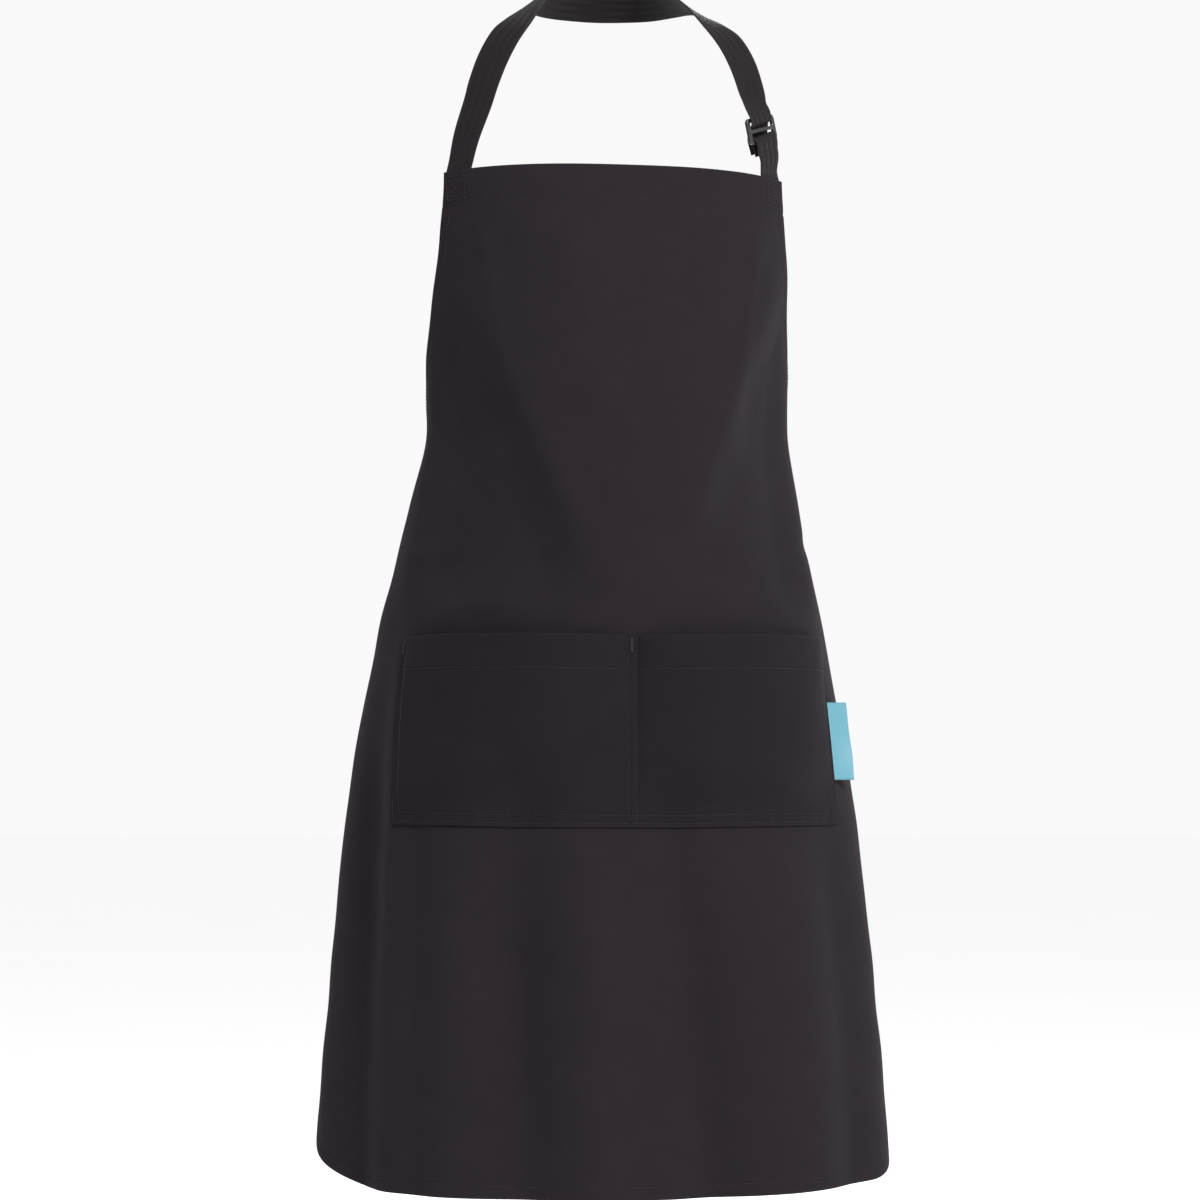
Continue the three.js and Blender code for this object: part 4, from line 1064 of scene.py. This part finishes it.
def knot():
    """The bow's knot: gathered tape pulled into a firm lump, with one turn wrapped over it."""
    down, around = 40, 56
    th_ = np.linspace(0, np.pi, down + 1)[1:-1]
    ph = np.linspace(0, 2 * np.pi, around + 1)[:-1]
    sp = lambda v, p: np.sign(v) * np.abs(v) ** p
    TH, PH = np.meshgrid(th_, ph, indexing="ij")
    x, y, z = 12.0 * sp(np.sin(TH), 0.85) * sp(np.cos(PH), 0.85), 8.4 * sp(np.sin(TH), 0.85) * sp(np.sin(PH), 0.85), 11.4 * sp(np.cos(TH), 0.85)
    crease = 0.5 * np.sin(z * 1.15 + 0.05 * x * x + 0.6) + 0.3 * np.sin(z * 2.3 + x * 0.35)
    scale = 1 + crease * 0.075 * np.abs(np.cos(PH)) ** 0.5
    v = np.stack([x * (1 + 0.02 * crease), y * scale, z], -1).reshape(-1, 3) + kc
    v = np.concatenate([v, [kc + [0, 0, 11.4], kc - [0, 0, 11.4]]])
    F = []
    idx = np.arange((down - 1) * around).reshape(down - 1, around)
    nx = np.roll(idx, -1, axis=1)
    F += np.stack([idx[:-1], idx[1:], nx[1:], nx[:-1]], -1).reshape(-1, 4).tolist()
    n = (down - 1) * around
    F += [[n, int(a), int(b)] for a, b in zip(idx[0], nx[0])]
    F += [[n + 1, int(b), int(a)] for a, b in zip(idx[-1], nx[-1])]
    uv = np.stack([v[:, 0], v[:, 2]], -1)
    core_ = mesh("tape_knot_core", v, F, M_TAPE, uv)
    # the wrap: a band round the middle, a little slanted and pinched
    a = np.linspace(0, 2 * np.pi, 90)
    tilt = 0.16
    mid = np.stack([1.2 * np.sin(a) + tilt * 11 * np.cos(a), 9.3 * sp(np.sin(a), 0.86), 12.4 * sp(np.cos(a), 0.86)], 1) + kc
    return core_, mid


core_knot, wrap_mid = knot()


def band(name, mid, wide, thick, mat, cols=18):
    """A closed turn of tape, with soft lengthwise creases."""
    mid = mid[:-1]
    n = len(mid)
    way = unit(np.roll(mid, -1, 0) - np.roll(mid, 1, 0))
    out = unit(mid - kc)
    across = unit(np.cross(out, way))
    out = np.cross(way, across)
    a = np.linspace(-1, 1, cols)
    arc = np.linspace(-np.pi / 2, np.pi / 2, 6)[1:-1]
    prof = np.concatenate([a, np.ones(4), a[::-1], -np.ones(4)])
    pa = np.concatenate([np.zeros(cols), np.cos(arc), np.zeros(cols), -np.cos(arc)])
    pb = np.concatenate([np.ones(cols), -np.sin(arc), -np.ones(cols), np.sin(arc)])
    k = np.linspace(0, 2 * np.pi, n, endpoint=False)
    w = wide / 2 * (1 - 0.10 * np.cos(2 * k))
    crease = 0.45 * np.sin(prof[None] * 5.2 + 0.8 * np.sin(k)[:, None]) + 0.25 * np.sin(prof[None] * 9.5 + 2 * k[:, None]) - 1.0 * prof[None] ** 2
    A = w[:, None] * prof[None] + thick / 2 * pa[None]
    B = thick / 2 * pb[None] + crease
    v = mid[:, None] + across[:, None] * A[..., None] + out[:, None] * B[..., None]
    m = len(prof)
    idx = np.arange(n * m).reshape(n, m)
    f = np.stack([idx, np.roll(idx, -1, 1), np.roll(np.roll(idx, -1, 1), -1, 0), np.roll(idx, -1, 0)], -1).reshape(-1, 4)
    uv = np.stack([np.broadcast_to(A, (n, m)), np.broadcast_to((k * 11)[:, None], (n, m))], -1)
    return mesh(name, v.reshape(-1, 3), f, mat, uv, np.broadcast_to(np.abs(prof)[None] ** 6, (n, m)))


wrap_knot = band("tape_knot_wrap", wrap_mid, 13.5, 1.3, M_TAPE)
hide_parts("tie_knot")

# ---- side label ---------------------------------------------------------------------------------------------------------------------------
a_l, b_l = (base(POCKET_HALF + 1.8, t) + normal(POCKET_HALF + 1.8, t) * 1.6 for t in (419.0, 480.0))
up = unit(a_l - b_l)
out_l = np.array([math.cos(math.radians(20)), math.sin(math.radians(20)), 0])
out_l = unit(out_l - out_l.dot(up) * up)
nrm_l = np.cross(up, out_l)
reach, tall = 17.0, float(np.linalg.norm(a_l - b_l))
# cross-section of a ribbon folded on itself: two leaves that meet in a soft round fold
leaf = []
xs = np.concatenate([np.linspace(-1.2, 13.5, 16), np.linspace(14.2, 16.2, 6)])
gap = 0.42 + 0.22 * np.clip((xs - 5) / 12, 0, 1) ** 2
outer_l = [(x, g) for x, g in zip(xs, gap)]
nose = [(16.2 + 0.75 * math.sin(q), 0.64 * math.cos(q)) for q in np.linspace(0.25, math.pi - 0.25, 7)]
path_l = outer_l + nose + [(x, -g) for x, g in outer_l[::-1]]
path_l = np.array(path_l)
way_l = unit(np.gradient(path_l, axis=0))
nor_l = np.stack([-way_l[:, 1], way_l[:, 0]], 1)
ring_l = np.concatenate([path_l + nor_l * 0.17, (path_l - nor_l * 0.17)[::-1]])
rows_l = 40
V, UVl = [], []
arc_l = np.concatenate([[0], np.cumsum(np.linalg.norm(np.diff(path_l, axis=0), axis=1))])
arc_l = np.concatenate([arc_l, arc_l[::-1]])
for j in range(rows_l + 1):
    f = j / rows_l
    centre = a_l + (b_l - a_l) * f
    bow = 0.9 * math.sin(math.pi * f) + 0.35 * math.sin(3.3 * math.pi * f + 0.6)
    for (x, y), ar in zip(ring_l, arc_l):
        lift = bow * (max(x, 0) / reach) ** 1.6 - 0.6 * (max(x, 0) / reach) ** 2 * math.sin(5 * f + 0.5)
        stretch = 1 - 0.012 * math.sin(math.pi * f)
        V.append(centre + out_l * (x * stretch) - nrm_l * (y + lift))
        UVl.append((ar, f * tall))
V = np.array(V)
m_l = len(ring_l)
idx = np.arange((rows_l + 1) * m_l).reshape(rows_l + 1, m_l)
nx = np.roll(idx, -1, 1)
F = np.stack([idx[:-1], nx[:-1], nx[1:], idx[1:]], -1).reshape(-1, 4).tolist()
half_n = len(path_l)
for row_i, fl_ in ((0, False), (rows_l, True)):
    for c in range(half_n - 1):
        q = [idx[row_i, c], idx[row_i, c + 1], idx[row_i, m_l - 2 - c], idx[row_i, m_l - 1 - c]]
        q = [int(x) for x in q]
        F.append(q if fl_ else q[::-1])
w_l = np.concatenate([np.exp(-((path_l[:, 0] - 16.9) / 1.2) ** 2)] * 2)
w_l[half_n:] = w_l[:half_n][::-1]
label = mesh("ribbon_label", V, F, M_SATIN, np.array(UVl), np.tile(w_l, rows_l + 1))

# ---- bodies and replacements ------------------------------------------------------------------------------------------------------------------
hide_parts("main_panel", "top_hem", "armhole_hem_left", "armhole_hem_right", "side_hem_left", "side_hem_right", "bottom_hem")
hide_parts("pocket_panel", "pocket_mouth_hem")
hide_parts("neck_strap", "neck_strap_bend", "neck_strap_end")
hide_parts("short_strap", "short_strap_bend", "short_strap_end")
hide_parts("strap_tail")
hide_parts("strap_slider")
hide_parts("side_label")
for o in [panel, pocket]:
    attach(o, "apron")
for o in [sew_front, sew_back, sew_pocket] + boxes + tacks:
    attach(o, "apron")
for o in pieces_tie + [core_knot, wrap_knot]:
    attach(o, "apron")
for o, b in loops + ends:
    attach(o, b)
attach(label, "side_label")
for o in (slide, grip):
    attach(o, "neck")
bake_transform(strap)
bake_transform(short_strap)
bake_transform(tail)

# ---- studio --------------------------------------------------------------------------------------------------------------------------------------
FLOOR_Z = float(box_cad[0][2]) - 0.35
n = 96
ang = np.linspace(0, 2 * np.pi, n + 1)[:-1]
verts = [(0, 0, FLOOR_Z)] + [(60 * math.cos(a), 60 * math.sin(a), FLOOR_Z) for a in ang]
me = bpy.data.meshes.new("studio_floor")
me.from_pydata(verts, [], [(0, 1 + k, 1 + (k + 1) % n) for k in range(n)])
me.materials.append(stage_material())
floor = bpy.data.objects.new("studio_floor", me)
scene.collection.objects.link(floor)

world = bpy.data.worlds.new("studio")
scene.world = world
scene.view_settings.view_transform = "Standard"
world.use_nodes = True
world.node_tree.nodes["Background"].inputs[0].default_value = (1.0, 1.0, 1.0, 1)
world.node_tree.nodes["Background"].inputs[1].default_value = 0.95


def softbox(name, where, at_, size, power, colour=(1, 1, 1)):
    d = bpy.data.lights.new(name, "AREA")
    d.shape = "RECTANGLE"
    d.size, d.size_y = size
    d.energy = power
    d.color = colour
    o = bpy.data.objects.new(name, d)
    scene.collection.objects.link(o)
    o.location = where
    o.rotation_euler = (Vector(at_) - Vector(where)).to_track_quat("-Z", "Y").to_euler()
    return o


softbox("key", (1.25, -2.92, 1.40), (0, -0.1, -0.55), (0.7, 0.7), 215, (1.0, 0.985, 0.98))
softbox("fill", (-2.6, -1.6, 0.2), (0, -0.1, -0.6), (1.4, 1.4), 6, (0.96, 0.98, 1.0))
softbox("rim", (1.2, 2.6, 1.2), (0, 0, -0.5), (1.4, 1.0), 60)

bpy.context.view_layer.update()
